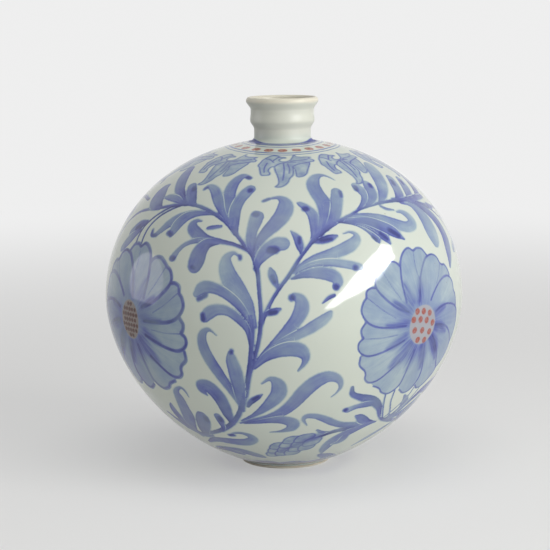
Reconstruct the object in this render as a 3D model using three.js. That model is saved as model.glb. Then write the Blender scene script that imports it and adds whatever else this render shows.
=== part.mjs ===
// A porcelain flask vase: a globe-shaped body on a low turned foot, with a short banded neck.
// Millimetres, +Z up. The origin is on the axis, at the level of the table that the foot stands on.
// The potter throws it in sections and lutes them together with slip: two bowls rim to rim make
// the globe, the neck stands on the upper bowl, and the foot ring is turned under the lower one.
import * as THREE from 'three';

// Driving dimensions of the globe
const bodyRadius = 97.4; // at the seam between the two bowls, which is the widest place
const seamHeight = 91.8; // above the table
const shoulderHeight = 176.2; // of the flat seat that the neck stands on
const shoulderFullness = 2.065; // 2 is an ellipse, and more is squarer
const bellyFullness = 1.785; // under 2 draws the belly in towards the foot
const bodyWall = 3.6;

// Driving dimensions of the foot
const footRingHeight = 2.4;
const footTopRadius = 25.6; // where the belly ends
const footBottomRadius = 24.3;
const footRingWidth = 5.6; // of its top, under the belly
const footEdge = 0.6; // bevel of the ring's two lower edges
const recessDepth = 4.4; // of the hollow under the vase, from the table
const floorThickness = 4.4; // over that hollow
const floorRadius = 25; // of the flat inside the vase

// Driving dimensions of the neck. Its heights are above the seat on the shoulder.
const neckHeight = 23.8;
const neckWall = 2.9;
const flareRadius = 18.4; // where the neck meets the shoulder
const flareHeight = 2.8; // the hollow curve between the shoulder and the waist
const waistRadius = 15.3;
const waistTop = 6.5;
const bandRadius = 17.4; // the raised band
const bandHeight = 11.3;
const collarRadius = 17.05; // between the band and the lip
const collarHeight = 15.5;
const lipRadius = 19.5;
const lipRise = 4.8; // how far the lip takes to swell from the collar
const lipThickness = 3;
const lipRound = 2; // height of the rounded top of the lip

// How finely the round forms are drawn
const turnSteps = 64;
const bowlSteps = 13;
const curveSteps = 4;

const paintedGlaze = new THREE.MeshStandardMaterial({ color: 0xa9b8d2, roughness: 0.12, metalness: 0 });
const plainGlaze = new THREE.MeshStandardMaterial({ color: 0xd3dacc, roughness: 0.12, metalness: 0 });
const barePorcelain = new THREE.MeshStandardMaterial({ color: 0xcfc9b8, roughness: 0.8, metalness: 0 });

const boreRadius = waistRadius - neckWall;
const footInnerRadius = footTopRadius - footRingWidth;
const shoulderUnderside = shoulderHeight - bodyWall;
const floorHeight = recessDepth + floorThickness;
const lipHeight = neckHeight - lipRound; // of the widest line of the lip

function point(radius, height) {
  return new THREE.Vector2(radius, height);
}

function closed(section) {
  return [...section, section[0].clone()];
}

// Turns a section, drawn as radii and heights, about the vertical axis.
function turned(name, section, material) {
  const geometry = new THREE.LatheGeometry(section, turnSteps);
  geometry.rotateX(Math.PI / 2);
  const mesh = new THREE.Mesh(geometry, material);
  mesh.name = name;
  return mesh;
}

// Half of a bowl's section, from its rim at the seam to the place where it stops.
// It rises to endHeight at endRadius, or hangs to it where endHeight is below the seam.
function bowlCurve(rimRadius, fullness, endRadius, endHeight) {
  const endShare = (endRadius / rimRadius) ** fullness;
  const closingRise = (endHeight - seamHeight) / (1 - endShare) ** (1 / fullness);
  const lastAngle = Math.acos(Math.sqrt(endShare));
  const points = [];
  for (let step = 0; step <= bowlSteps; step++) {
    const angle = (lastAngle * step) / bowlSteps;
    const radius = rimRadius * Math.cos(angle) ** (2 / fullness);
    const height = seamHeight + closingRise * Math.sin(angle) ** (2 / fullness);
    points.push(point(radius, height));
  }
  return points;
}

// An S-shaped swell between two places on the neck, level with the axis at both ends.
function swell(fromRadius, fromHeight, toRadius, toHeight) {
  const points = [];
  for (let step = 0; step <= curveSteps; step++) {
    const share = step / curveSteps;
    const eased = (1 - Math.cos(Math.PI * share)) / 2;
    const radius = fromRadius + (toRadius - fromRadius) * eased;
    const height = fromHeight + (toHeight - fromHeight) * share;
    points.push(point(radius, shoulderHeight + height));
  }
  return points;
}

// The hollow curve that takes the neck from the flat of the shoulder up into its waist.
function flare() {
  const points = [];
  for (let step = 0; step < curveSteps; step++) {
    const angle = (Math.PI / 2) * (step / curveSteps);
    const radius = flareRadius - (flareRadius - waistRadius) * Math.sin(angle);
    const height = shoulderHeight + flareHeight * (1 - Math.cos(angle));
    points.push(point(radius, height));
  }
  return points;
}

// The rounded top of the lip, between its outer and its inner side.
function lipTop() {
  const points = [];
  for (let step = 1; step < 2 * curveSteps; step++) {
    const angle = (Math.PI / 2) * (step / curveSteps);
    const radius = lipRadius - (lipThickness / 2) * (1 - Math.cos(angle));
    const height = shoulderHeight + lipHeight + lipRound * Math.sin(angle);
    points.push(point(radius, height));
  }
  return points;
}

function lowerBody() {
  const outside = bowlCurve(bodyRadius, bellyFullness, footTopRadius, footRingHeight);
  const inside = bowlCurve(bodyRadius - bodyWall, bellyFullness, floorRadius, floorHeight);
  const section = [
    point(0, recessDepth),
    point(footInnerRadius, recessDepth),
    point(footInnerRadius, footRingHeight),
    ...outside.reverse(),
    ...inside,
    point(0, floorHeight),
  ];
  return turned('lower_body', section, paintedGlaze);
}

function upperBody() {
  const outside = bowlCurve(bodyRadius, shoulderFullness, flareRadius, shoulderHeight);
  const inside = bowlCurve(bodyRadius - bodyWall, shoulderFullness, boreRadius, shoulderUnderside);
  const section = [
    ...outside,
    point(boreRadius, shoulderHeight),
    ...inside.reverse(),
  ];
  return turned('upper_body', closed(section), paintedGlaze);
}

function neck() {
  const section = [
    ...flare(),
    point(waistRadius, shoulderHeight + flareHeight),
    ...swell(waistRadius, waistTop, bandRadius, bandHeight),
    point(collarRadius, shoulderHeight + collarHeight),
    ...swell(collarRadius, lipHeight - lipRise, lipRadius, lipHeight),
    ...lipTop(),
    ...swell(lipRadius - lipThickness, lipHeight, boreRadius, bandHeight),
    point(boreRadius, shoulderHeight),
  ];
  return turned('neck', closed(section), plainGlaze);
}

function footRing() {
  const section = [
    point(footInnerRadius, footEdge),
    point(footInnerRadius + footEdge, 0),
    point(footBottomRadius - footEdge, 0),
    point(footBottomRadius, footEdge),
    point(footTopRadius, footRingHeight),
    point(footInnerRadius, footRingHeight),
  ];
  return turned('foot_ring', closed(section), barePorcelain);
}

const vase = new THREE.Group();
vase.add(footRing(), lowerBody(), upperBody(), neck());

export default vase;
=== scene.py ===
"""Glazes and paints a porcelain flask vase: a globe with a short neck, brushed with flowers and leaves.

The globe's painting is laid on its wall in two measures that follow the form. A place on the wall is
given as around, in degrees to the right of the front, and up, in millimetres along the wall from the
seam at the widest part. Each brush stroke is a line of such places with its breadth at each. The
lines of the flowers are drawn flat, in millimetres from the middles of their discs, and carried over
to the wall. Strokes and lines are turned into distances on the glaze's vertices, and the shaders turn
the distances into brushed colour. Only the blue rings round the neck are drawn by a formula.
"""

from __future__ import annotations

import logging
import math
from dataclasses import dataclass
from enum import Enum

import bpy
import numpy as np
from mathutils import Matrix, Vector


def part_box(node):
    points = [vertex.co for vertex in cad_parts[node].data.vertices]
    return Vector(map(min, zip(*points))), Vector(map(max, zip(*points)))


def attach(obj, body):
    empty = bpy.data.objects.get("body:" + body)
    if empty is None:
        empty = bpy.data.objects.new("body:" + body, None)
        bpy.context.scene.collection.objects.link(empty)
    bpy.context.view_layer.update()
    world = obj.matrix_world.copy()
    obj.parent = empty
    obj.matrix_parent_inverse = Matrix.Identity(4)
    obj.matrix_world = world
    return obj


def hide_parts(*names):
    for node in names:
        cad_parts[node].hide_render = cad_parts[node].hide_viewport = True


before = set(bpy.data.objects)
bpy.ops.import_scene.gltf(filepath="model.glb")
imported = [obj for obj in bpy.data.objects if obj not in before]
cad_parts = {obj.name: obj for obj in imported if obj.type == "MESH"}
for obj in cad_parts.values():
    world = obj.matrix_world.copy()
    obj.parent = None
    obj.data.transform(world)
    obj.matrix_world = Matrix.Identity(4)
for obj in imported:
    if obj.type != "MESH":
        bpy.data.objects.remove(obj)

log = logging.getLogger("vase")

MM = 0.001
FAR = 3.5  # mm from the nearest stroke, past which a distance isn't kept
FAR_FLOWER = 99.0  # stands for the places that are on no flower
SWEEP_SPANS = 6  # spans of a stroke that are measured together
NO_LENGTH = 1e-6  # mm, which stands for the length of a span whose two ends are one
NEAR_ZERO = 0.01  # mm added to a radius that is divided by
WELD = 0.001 * MM  # closer than this, two points are one
SMOOTH_ANGLE = math.radians(40)  # between two faces, past which their edge stays sharp
GLAZED_WITHIN = 0.1  # mm from the wall's outline, within which a point is on its glazed side
LEAST_BREADTH = 0.6  # mm of a stroke, however finely it is drawn
LEAST_HALF = 0.5  # mm from a stroke's middle, within which its sides aren't told apart
SIDE_LIMIT = 1.5  # half breadths from a stroke's middle, past which its side isn't kept
MELT_SHARE = 0.5  # of a stroke's length, over which it comes clear of older ones
WET_JOIN = 1.0  # mm over which two wet strokes run together
DEGREE = 1.7  # mm round the widest part of the globe
ABOVE_FLOWERS = 30.0  # mm up the wall, over which a leaf is above the flowers
DRIFT_WAVES = 9  # waves round the globe of a field's drift
DRIFT_HEIGHT = 14.0  # mm up the wall for each radian of its drift to the side

Tree = bpy.types.NodeTree
Place = tuple[float, float]
Span = tuple[float, float]  # where something starts and where it stops
Brushed = tuple[float, float, float]  # around, up and breadth
Colour = tuple[float, float, float]  # 0 to 255 on a screen
Direction = tuple[float, float, float]
Spot = tuple[float, float, float]  # right, back and up, in metres


def vertices_of(piece: bpy.types.Object) -> np.ndarray:
    """Gives a piece's vertices in millimetres, one row each."""
    places = np.empty(len(piece.data.vertices) * 3, dtype=np.float32)
    piece.data.vertices.foreach_get("co", places)
    return places.reshape(-1, 3).astype(float) / MM


@dataclass
class WallLine:
    """The outline of the globe's glazed wall, from the foot ring to the neck, in millimetres."""

    radius: float
    seam_height: float
    top_radius: float
    top_height: float
    foot_radius: float
    foot_height: float
    shoulder_fullness: float = 2.065
    belly_fullness: float = 1.785
    fine_steps: int = 6000

    def __post_init__(self) -> None:
        """Works out the two bowls' closing heights and the length of the wall."""
        top_share = 1 - (self.top_radius / self.radius) ** self.shoulder_fullness
        foot_share = 1 - (self.foot_radius / self.radius) ** self.belly_fullness
        self.rise = (self.top_height - self.seam_height) / top_share ** (1 / self.shoulder_fullness)
        self.fall = (self.seam_height - self.foot_height) / foot_share ** (1 / self.belly_fullness)
        self.heights = np.linspace(self.foot_height, self.top_height, self.fine_steps)
        self.radii = self.radius_at(self.heights)
        lengths = np.hypot(np.diff(self.radii), np.diff(self.heights))
        self.ups = np.concatenate([[0.0], np.cumsum(lengths)])
        self.ups -= np.interp(self.seam_height, self.heights, self.ups)

    def radius_at(self, height: np.ndarray | float) -> np.ndarray:
        """Gives the wall's radius at a height above the table."""
        height = np.asarray(height, dtype=float)
        above = np.clip((height - self.seam_height) / self.rise, 0, 1)
        below = np.clip((self.seam_height - height) / self.fall, 0, 1)
        upper = (1 - above**self.shoulder_fullness) ** (1 / self.shoulder_fullness)
        lower = (1 - below**self.belly_fullness) ** (1 / self.belly_fullness)
        return self.radius * np.where(height >= self.seam_height, upper, lower)

    def section(self, up: np.ndarray | float) -> tuple[np.ndarray, np.ndarray]:
        """Gives the radius and the height of the wall at a distance up it."""
        return np.interp(up, self.ups, self.radii), np.interp(up, self.ups, self.heights)

    def place(self, around: np.ndarray | float, up: np.ndarray | float) -> np.ndarray:
        """Gives the places in space of points on the wall.

        Args:
            around: Degrees to the right of the front.
            up: Millimetres along the wall from the seam.

        Returns:
            One row of x, y and z for each point, in millimetres.
        """
        radius, height = self.section(up)
        angle = np.radians(around)
        return np.stack([radius * np.sin(angle), -radius * np.cos(angle), height], axis=-1)

    def up_of(self, height: float) -> float:
        """Gives the distance up the wall of a height above the table."""
        return float(np.interp(height, self.heights, self.ups))

    def up_of_radius(self, radius: float) -> float:
        """Gives the distance up the wall of a ring on the shoulder."""
        above = self.heights > self.seam_height
        return float(np.interp(-radius, -self.radii[above], self.ups[above]))

    def normals(self, places: np.ndarray) -> np.ndarray:
        """Gives the directions that the wall faces at places on it."""
        slack = 0.15
        lean = (self.radius_at(places[:, 2] + slack) - self.radius_at(places[:, 2] - slack)) / (2 * slack)
        turn = places[:, :2] / np.maximum(np.hypot(places[:, 0], places[:, 1]), slack)[:, None]
        facing = np.column_stack([turn, -lean])
        return facing / np.linalg.norm(facing, axis=1, keepdims=True)


def box_of(node: str) -> tuple[np.ndarray, np.ndarray]:
    """Gives a CAD node's lowest and highest corners in millimetres."""
    low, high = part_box(node)
    return np.array(low) / MM, np.array(high) / MM


def measured_wall() -> WallLine:
    """Reads the wall's main sizes from the frame.

    Returns:
        The outline of the globe between the foot ring and the neck.
    """
    flare_radius = 18.4  # of the neck where it meets the shoulder
    upper_low, upper_high = box_of("upper_body")
    foot_high = box_of("foot_ring")[1]
    return WallLine(
        radius=float(upper_high[0]),
        seam_height=float(upper_low[2]),
        top_radius=flare_radius,
        top_height=float(upper_high[2]),
        foot_radius=float(foot_high[0]),
        foot_height=float(foot_high[2]),
    )


class Touch(Enum):
    """How strongly the cobalt lies along a stroke, at its root and at its tip."""

    STEM = (0.80, 0.80)
    LEAF = (0.72, 0.48)
    PALE = (0.58, 0.40)
    RICH = (0.82, 0.64)
    DARK = (0.92, 0.92)


@dataclass(frozen=True)
class Stroke:
    """One touch of the brush: its path with its breadths, its strength and its dark accent."""

    path: tuple[Brushed, ...]
    touch: Touch = Touch.LEAF
    eye: tuple[Place, ...] = ()
    drop: float = 2.4  # breadth of the accent


def smooth_line(path: np.ndarray, step: float = 0.2) -> np.ndarray:
    """Rounds a path into a Catmull-Rom curve.

    Args:
        path: The points that the curve passes through, one row each.
        step: The share of a span between two samples.

    Returns:
        The samples, one row each, the two ends included.
    """
    if len(path) < 3:
        return path
    ends = np.vstack([2 * path[0] - path[1], path, 2 * path[-1] - path[-2]])
    shares = np.arange(0, 1, step)[:, None]
    spans = []
    for before, start, stop, after in zip(ends[:-3], ends[1:-2], ends[2:-1], ends[3:]):
        linear = (stop - before) / 2
        square = before - 2.5 * start + 2 * stop - after / 2
        cubic = (after - before) / 2 + 1.5 * (start - stop)
        spans.append(start + linear * shares + square * shares**2 + cubic * shares**3)
    return np.vstack([*spans, path[-1:]])


@dataclass
class Swept:
    """What a stroke says at the vertices near it."""

    near: np.ndarray  # the vertices' numbers
    distance: np.ndarray  # mm outside the stroke's edge, negative inside
    along: np.ndarray  # 0 at the root to 1 at the tip
    side: np.ndarray  # -1 at the left edge to 1 at the right edge
    run: np.ndarray  # mm from the root


class Canvas:
    """The glazed wall's vertices, and what is painted on each of them."""

    def __init__(self, wall: WallLine, places: np.ndarray) -> None:
        """Starts with a bare wall.

        Args:
            wall: The outline of the globe.
            places: The vertices in millimetres, one row each.
        """
        self.wall = wall
        self.places = places
        self.facing = wall.normals(places)
        self.around = np.degrees(np.arctan2(places[:, 0], -places[:, 1]))
        self.up = np.interp(places[:, 2], wall.heights, wall.ups)
        count = len(places)
        bare = {"distance": FAR, "strength": 0.0, "side": 0.0, "run": 0.0, "seam": FAR, "fade": 0.0}
        self.wash = {name: np.full(count, value) for name, value in bare.items()}
        self.eyes, self.lines, self.dots = (np.full(count, FAR) for _ in range(3))
        self.pales, self.discs, self.shades = (np.full(count, FAR) for _ in range(3))
        self.flower = np.tile([FAR_FLOWER, FAR_FLOWER, FAR], (count, 1))

    def sweep(self, middles: np.ndarray, halves: np.ndarray) -> Swept | None:
        """Measures how far each nearby vertex is from a stroke.

        Args:
            middles: The stroke's line in space, one row for each place.
            halves: Half of the stroke's breadth at each place.

        Returns:
            The measures, or None where no vertex is near.
        """
        reach = halves.max() + FAR
        near = self.within(self.places, middles, reach)
        places, facing = self.places[near], self.facing[near]
        spans = np.diff(middles, axis=0)
        lengths = np.maximum(np.linalg.norm(spans, axis=1), NO_LENGTH)
        ways = spans / lengths[:, None]
        begun = np.concatenate([[0.0], np.cumsum(lengths)])
        distance = np.full(len(near), FAR)
        side, run = np.zeros(len(near)), np.zeros(len(near))
        for first in range(0, len(spans), SWEEP_SPANS):
            last = min(first + SWEEP_SPANS, len(spans))
            rows = self.within(places, middles[first : last + 1], reach)
            offset = places[rows][:, None, :] - middles[first:last]
            share = np.clip((offset * ways[first:last]).sum(axis=2) / lengths[first:last], 0, 1)
            gap = offset - share[..., None] * spans[first:last]
            half = halves[first:last] + share * np.diff(halves[first : last + 1])
            outside = np.sqrt((gap * gap).sum(axis=2)) - half
            best = outside.argmin(axis=1)
            every = np.arange(len(rows))
            closer = outside[every, best] < distance[rows]
            best, every, rows = best[closer], every[closer], rows[closer]
            lateral = np.cross(ways[first + best], facing[rows])
            distance[rows] = outside[every, best]
            side[rows] = (gap[every, best] * lateral).sum(axis=1) / np.maximum(half[every, best], LEAST_HALF)
            run[rows] = begun[first + best] + share[every, best] * lengths[first + best]
        kept = distance < FAR
        if not kept.any():
            return None
        side = np.clip(side[kept], -SIDE_LIMIT, SIDE_LIMIT)
        return Swept(near[kept], distance[kept], run[kept] / begun[-1], side, run[kept])

    @staticmethod
    def within(places: np.ndarray, middles: np.ndarray, reach: float) -> np.ndarray:
        """Gives the numbers of the places in a box round some points."""
        low, high = middles.min(axis=0) - reach, middles.max(axis=0) + reach
        inside = (places[:, 0] > low[0]) & (places[:, 0] < high[0])
        for axis in (1, 2):
            inside &= (places[:, axis] > low[axis]) & (places[:, axis] < high[axis])
        return np.flatnonzero(inside)

    def lay(self, stroke: Stroke, laid: Field, turn: float = 0.0) -> None:
        """Brushes one stroke and its dark accent over what is there.

        The stroke melts into older ones at its root. Further along, a pale seam is left round it
        where it lies over them.

        Args:
            stroke: The stroke as drawn for the front.
            laid: The field of the globe that it goes to.
            turn: Degrees that it is moved first.
        """
        line = smooth_line(np.array(stroke.path, dtype=float) + (turn, 0, 0))
        swept = self.sweep(laid.lay(self.wall, line), np.maximum(line[:, 2], LEAST_BREADTH) / 2)
        if swept is not None:
            self.merge(stroke, swept, self.bend(line) * np.sign(laid.stretch))
        if stroke.eye:
            ends = stroke.eye if len(stroke.eye) > 1 else stroke.eye * 2
            spots = laid.lay(self.wall, np.array(ends, dtype=float) + (turn, 0))
            self.lower(self.eyes, self.sweep(spots, np.full(len(ends), stroke.drop / 2)))

    def merge(self, stroke: Stroke, swept: Swept, outer: float) -> None:
        """Merges a stroke into the wash.

        Args:
            stroke: The stroke.
            swept: Its measures at the vertices near it.
            outer: 1 where its right edge is the outer one of its bend, or -1.
        """
        near, new = swept.near, swept.distance
        old = self.wash["distance"][near]
        share = np.clip(swept.along / MELT_SHARE, 0, 1)
        melt = share * share * (3 - 2 * share) if stroke.touch is not Touch.STEM else np.zeros(len(near))
        over_old = (new < 0) & (old < 0)
        taken = np.where(over_old, melt, new < old)
        root, tip = stroke.touch.value
        values = {
            "strength": root + (tip - root) * swept.along,
            "side": swept.side * outer,
            "run": swept.run,
        }
        for name, value in values.items():
            kept = self.wash[name][near]
            self.wash[name][near] = kept + taken * (value - kept)
        seam = self.wash["seam"][near]
        closer = (new < 0) | ((old < 0) & (np.abs(new) < np.abs(seam)))
        self.wash["seam"][near] = np.where(closer, new, seam)
        self.wash["fade"][near] = np.where(closer, melt * (old < 0), self.wash["fade"][near])
        blend = np.clip(0.5 + 0.5 * (old - new) / WET_JOIN, 0, 1)
        self.wash["distance"][near] = old + blend * (new - old) - WET_JOIN * blend * (1 - blend)

    @staticmethod
    def bend(line: np.ndarray) -> float:
        """Tells which edge of a stroke is the outer one of its bend: 1 for the right one, or -1."""
        ways = np.diff(line[:, :2], axis=0) * (DEGREE, 1)
        turns = ways[:-1, 0] * ways[1:, 1] - ways[:-1, 1] * ways[1:, 0]
        return 1.0 if turns.sum() > 0 else -1.0

    def enclosed(self, outline: np.ndarray, veins: list[np.ndarray], laid: Field) -> None:
        """Draws a pale shape inside a closed line, with its veins, over what is under it.

        Args:
            outline: The shape's corners as around and up, rounded here.
            veins: Lines inside it.
            laid: The field of the globe that it goes to.
        """
        closed = smooth_line(np.vstack([outline, outline[:1]]))
        shape = np.full(len(self.places), FAR)
        self.lower(shape, self.sweep(laid.lay(self.wall, closed), np.zeros(len(closed))))
        around = (self.around - laid.hinge + 180) % 360 - 180
        inside = np.zeros(len(self.places), dtype=bool)
        ring = (closed[:, 0] - laid.hinge) * laid.stretch
        for left, low, right, high in zip(ring[:-1], closed[:-1, 1], ring[1:], closed[1:, 1]):
            if low != high:
                crossed = (low > self.up) != (high > self.up)
                inside ^= crossed & (around < left + (right - left) * (self.up - low) / (high - low))
        self.stamp(np.where(inside, -shape, shape), shape)
        for vein in veins:
            line = smooth_line(vein)
            self.lower(self.lines, self.sweep(laid.lay(self.wall, line), np.zeros(len(line))))

    def stamp(self, shape: np.ndarray, edge: np.ndarray) -> None:
        """Covers the scroll with a pale shape.

        Args:
            shape: Each vertex's distance outside the shape, negative inside.
            edge: Its distance to the shape's outline.
        """
        inside = shape < 0
        self.lines[inside] = FAR
        self.lines = np.minimum(self.lines, edge)
        self.pales = np.minimum(self.pales, shape)
        self.wash["distance"][inside] = FAR
        self.eyes[inside] = FAR

    def outlined(self, line: np.ndarray, laid: Field) -> None:
        """Draws a pale stroke with a dark outline over what is under it."""
        shape = np.full(len(self.places), FAR)
        self.lower(shape, self.sweep(laid.lay(self.wall, line), line[:, 2] / 2))
        self.stamp(shape, np.abs(shape))

    def clear(self, where: np.ndarray) -> None:
        """Wipes the scroll off some vertices."""
        for kept in (self.wash["distance"], self.eyes, self.lines, self.pales):
            kept[where] = FAR

    @staticmethod
    def lower(kept: np.ndarray, swept: Swept | None) -> None:
        """Keeps the smaller of two distances at each vertex."""
        if swept is not None:
            kept[swept.near] = np.minimum(kept[swept.near], swept.distance)

    def attributes(self) -> dict[str, np.ndarray]:
        """Gives what the glaze's shader reads, three numbers for each vertex."""
        wash = self.wash
        return {
            "wash": np.column_stack([wash["distance"], wash["strength"], wash["side"]]),
            "brush": np.column_stack([wash["run"], wash["seam"], wash["fade"]]),
            "marks": np.column_stack([self.eyes, self.lines, self.dots]),
            "shapes": np.column_stack([self.pales, self.discs, self.shades]),
            "flower": self.flower,
        }


LEFT_SPRAY = (
    # The branch's upright leaves
    Stroke(((-17, 48, 2.5), (-19, 55, 6), (-21.5, 62, 7.5), (-23.3, 69, 7.5), (-24, 75, 7), (-23.8, 80, 6.5),
            (-22, 84.5, 5), (-19.5, 85.3, 3.6), (-17.2, 84, 2.6)), eye=((-18, 84.3), (-16.9, 83.8))),
    Stroke(((-16.5, 47.5, 2.5), (-17.8, 54, 5.5), (-18.6, 61, 6.5), (-18, 67, 6.5), (-16.5, 72, 7),
            (-15, 75, 6.5)), eye=((-14.6, 74.3),), drop=3.2),
    Stroke(((-19.5, 53, 1.5), (-22.5, 57.5, 3), (-25, 62, 4.5), (-27.5, 67, 6), (-30, 71.5, 6), (-33, 75, 5),
            (-36, 76.2, 3.5), (-37.5, 75.2, 2)), eye=((-36.6, 75), (-37.4, 73.8)), drop=1.6),
    # The leaves at the branch's end
    Stroke(((-38, 63.4, 3), (-40.7, 66.3, 6), (-43.6, 70.7, 6.8), (-46.2, 75, 5.6)), Touch.RICH,
           eye=((-44, 74), (-43.3, 72.8)), drop=2.6),
    Stroke(((-42, 63, 3), (-47.4, 67.3, 5), (-53, 72.6, 6.8), (-57.6, 78.6, 8), (-61.4, 84, 7.6),
            (-63.4, 87.6, 6)), Touch.RICH),
    Stroke(((-44, 63.2, 2), (-49.5, 65.4, 4.6), (-55, 66, 4.4), (-58, 65.5, 2))),
    Stroke(((-56.5, 58.8, 4), (-60.5, 60.6, 9), (-63.8, 64.5, 12), (-65.6, 69, 9), (-64.6, 73, 3.5)),
           Touch.RICH),
    Stroke(((-58.6, 49.5, 2.4), (-62.6, 46.4, 6.6), (-66.1, 42, 6)), Touch.RICH,
           eye=((-62.6, 46), (-63.8, 44.6)), drop=2.6),
    Stroke(((-60.5, 44, 3), (-65.4, 37.6, 7), (-68.8, 32.4, 5))),
    # The forked curl under the branch
    Stroke(((-25, 58, 1.5), (-31, 58.2, 3), (-37, 57, 5), (-42, 54, 6), (-45.5, 50, 5.5), (-47.8, 46, 4),
            (-50, 43, 2.8), (-52, 43, 1.8), (-52.3, 45.3, 1)),
           eye=((-52.3, 45.5), (-51.3, 42.6), (-49, 42.8)), drop=1.4),
    Stroke(((-33, 58, 2.5), (-38, 55.5, 6), (-40.5, 51.5, 7), (-41.5, 47.5, 6), (-42, 45.2, 4.5)),
           eye=((-43.5, 45.2), (-42, 44.4)), drop=2.6),
    # The three-fold leaf
    Stroke(((-11.5, 38, 1.8), (-16, 41, 2.2), (-21.5, 42.6, 3), (-26.5, 43.6, 4.5), (-30.5, 45.8, 6.5),
            (-33.3, 48.5, 6.5), (-34.2, 51.3, 4.6), (-32.8, 53.5, 2.6), (-30.8, 53.4, 1.2)), Touch.RICH),
    Stroke(((-25, 43.3, 2.5), (-30, 42.5, 3), (-34, 40.3, 2.8), (-36.3, 37, 3), (-37.6, 33.5, 4),
            (-38.2, 31.8, 3.6)), eye=((-37.5, 32), (-38.5, 32))),
    Stroke(((-22, 42.6, 3), (-26, 41, 6), (-28, 37, 8.5), (-28.6, 32.5, 9.6), (-29, 29.5, 8.5)), Touch.RICH,
           eye=((-30, 28.5), (-29, 28)), drop=1.4),
    Stroke(((-27.3, 49.6, 2.2), (-25, 50.2, 2.8), (-22.5, 50.9, 2)), Touch.RICH),
)

MIDDLE_SPRAY = (
    # The club and the hook between the branches
    Stroke(((-10, 37, 2), (-11, 43, 5), (-10.9, 49, 6), (-10.2, 54, 7.2), (-9.8, 57, 7.6)),
           eye=((-10.6, 58.8), (-9.9, 58.6)), drop=3),
    Stroke(((-9.3, 37, 2), (-8, 43, 4.5), (-5.5, 48.5, 6.5), (-2.8, 53, 8), (-0.3, 58, 8.8), (1, 63, 8.5),
            (0.6, 66.8, 6), (-1.5, 69.2, 3.2), (-4.5, 69, 1.8), (-7.8, 67.2, 1.3)),
           eye=((-8, 67), (-6, 68.4)), drop=1.3),
    Stroke(((-8.8, 29, 2.5), (-7.6, 33.5, 5), (-5.5, 38, 7.5), (-2.5, 41.5, 8), (-0.3, 42, 7.5)),
           eye=((-4.3, 38.6), (-2.6, 38.6)), drop=3.8),
    # The buds beside the right-hand stem
    Stroke(((-1.8, 19, 1.5), (-2.8, 22.5, 4), (-3.6, 26, 4.6), (-4.2, 29, 1.8)),
           eye=((-3.6, 25), (-2.8, 22.5)), drop=1.6),
    Stroke(((-6, 6.2, 1.8), (-4.2, 7, 3.4), (-2.8, 7.8, 3.6), (-1.2, 8.8, 2)), Touch.RICH,
           eye=((-4, 7), (-2.5, 7.4)), drop=2.2),
    Stroke(((5.6, 37, 1.5), (5.3, 41, 4.5), (4.6, 45, 4.2), (2.6, 48.8, 1.2)), eye=((5.4, 45), (5.2, 42.3)),
           drop=1.4),
    # The leaves left of the main stem
    Stroke(((-8.7, 0, 2.5), (-9.6, 5, 4.5), (-10.9, 10.5, 7), (-13, 15.5, 9), (-15.3, 20.5, 10),
            (-17.3, 25.5, 9.2), (-18.4, 30.5, 7.2), (-18.2, 34.5, 4.6), (-16.3, 36.8, 2.4),
            (-14.4, 35.6, 1.6)), Touch.PALE, eye=((-14, 35), (-13.8, 33.8)), drop=1.8),
    Stroke(((-9.8, -1, 2), (-11, 5, 3.2), (-14, 11.5, 4.6), (-18, 16.3, 5.2), (-22, 18.8, 6),
            (-25.3, 18.3, 7), (-27.2, 15.2, 4)), eye=((-24, 14.8), (-26.3, 12.6)), drop=2.2),
    Stroke(((-10, -9, 1.8), (-10.8, -2, 3), (-13, 3, 4.4), (-16.5, 7.2, 5), (-20, 8, 6), (-22.8, 6, 7),
            (-24, 3.6, 5.4)), eye=((-24.8, 4.8), (-24.6, 2.6))),
    # The leaves right of the trunk
    Stroke(((-8.8, -20, 2.5), (-5, -13, 4.5), (-1.5, -7, 6), (1.3, -1.5, 6.5), (3.6, 3.5, 7), (5.2, 9, 8),
            (4.9, 13.3, 6), (3.2, 15.2, 4)), eye=((2.3, 14.4),), drop=3.4),
    Stroke(((-4, -10.5, 2.5), (1, -6.5, 4.5), (5.5, -3, 5.5), (9.5, 0.8, 6.2), (12.6, 4.3, 5),
            (13.8, 6.5, 2.5)), Touch.PALE),
    Stroke(((-9.2, -22, 2), (-6, -16.5, 4.5), (-2.5, -13.2, 6.5), (1.3, -11.6, 8), (4.6, -12.3, 8),
            (6.3, -15.8, 5), (5.9, -19.8, 3), (4.2, -23.8, 1.4))),
    Stroke(((15, 15, 2), (13.2, 13.8, 2.2), (11.4, 11.4, 1.2)), Touch.RICH),
)

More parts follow.
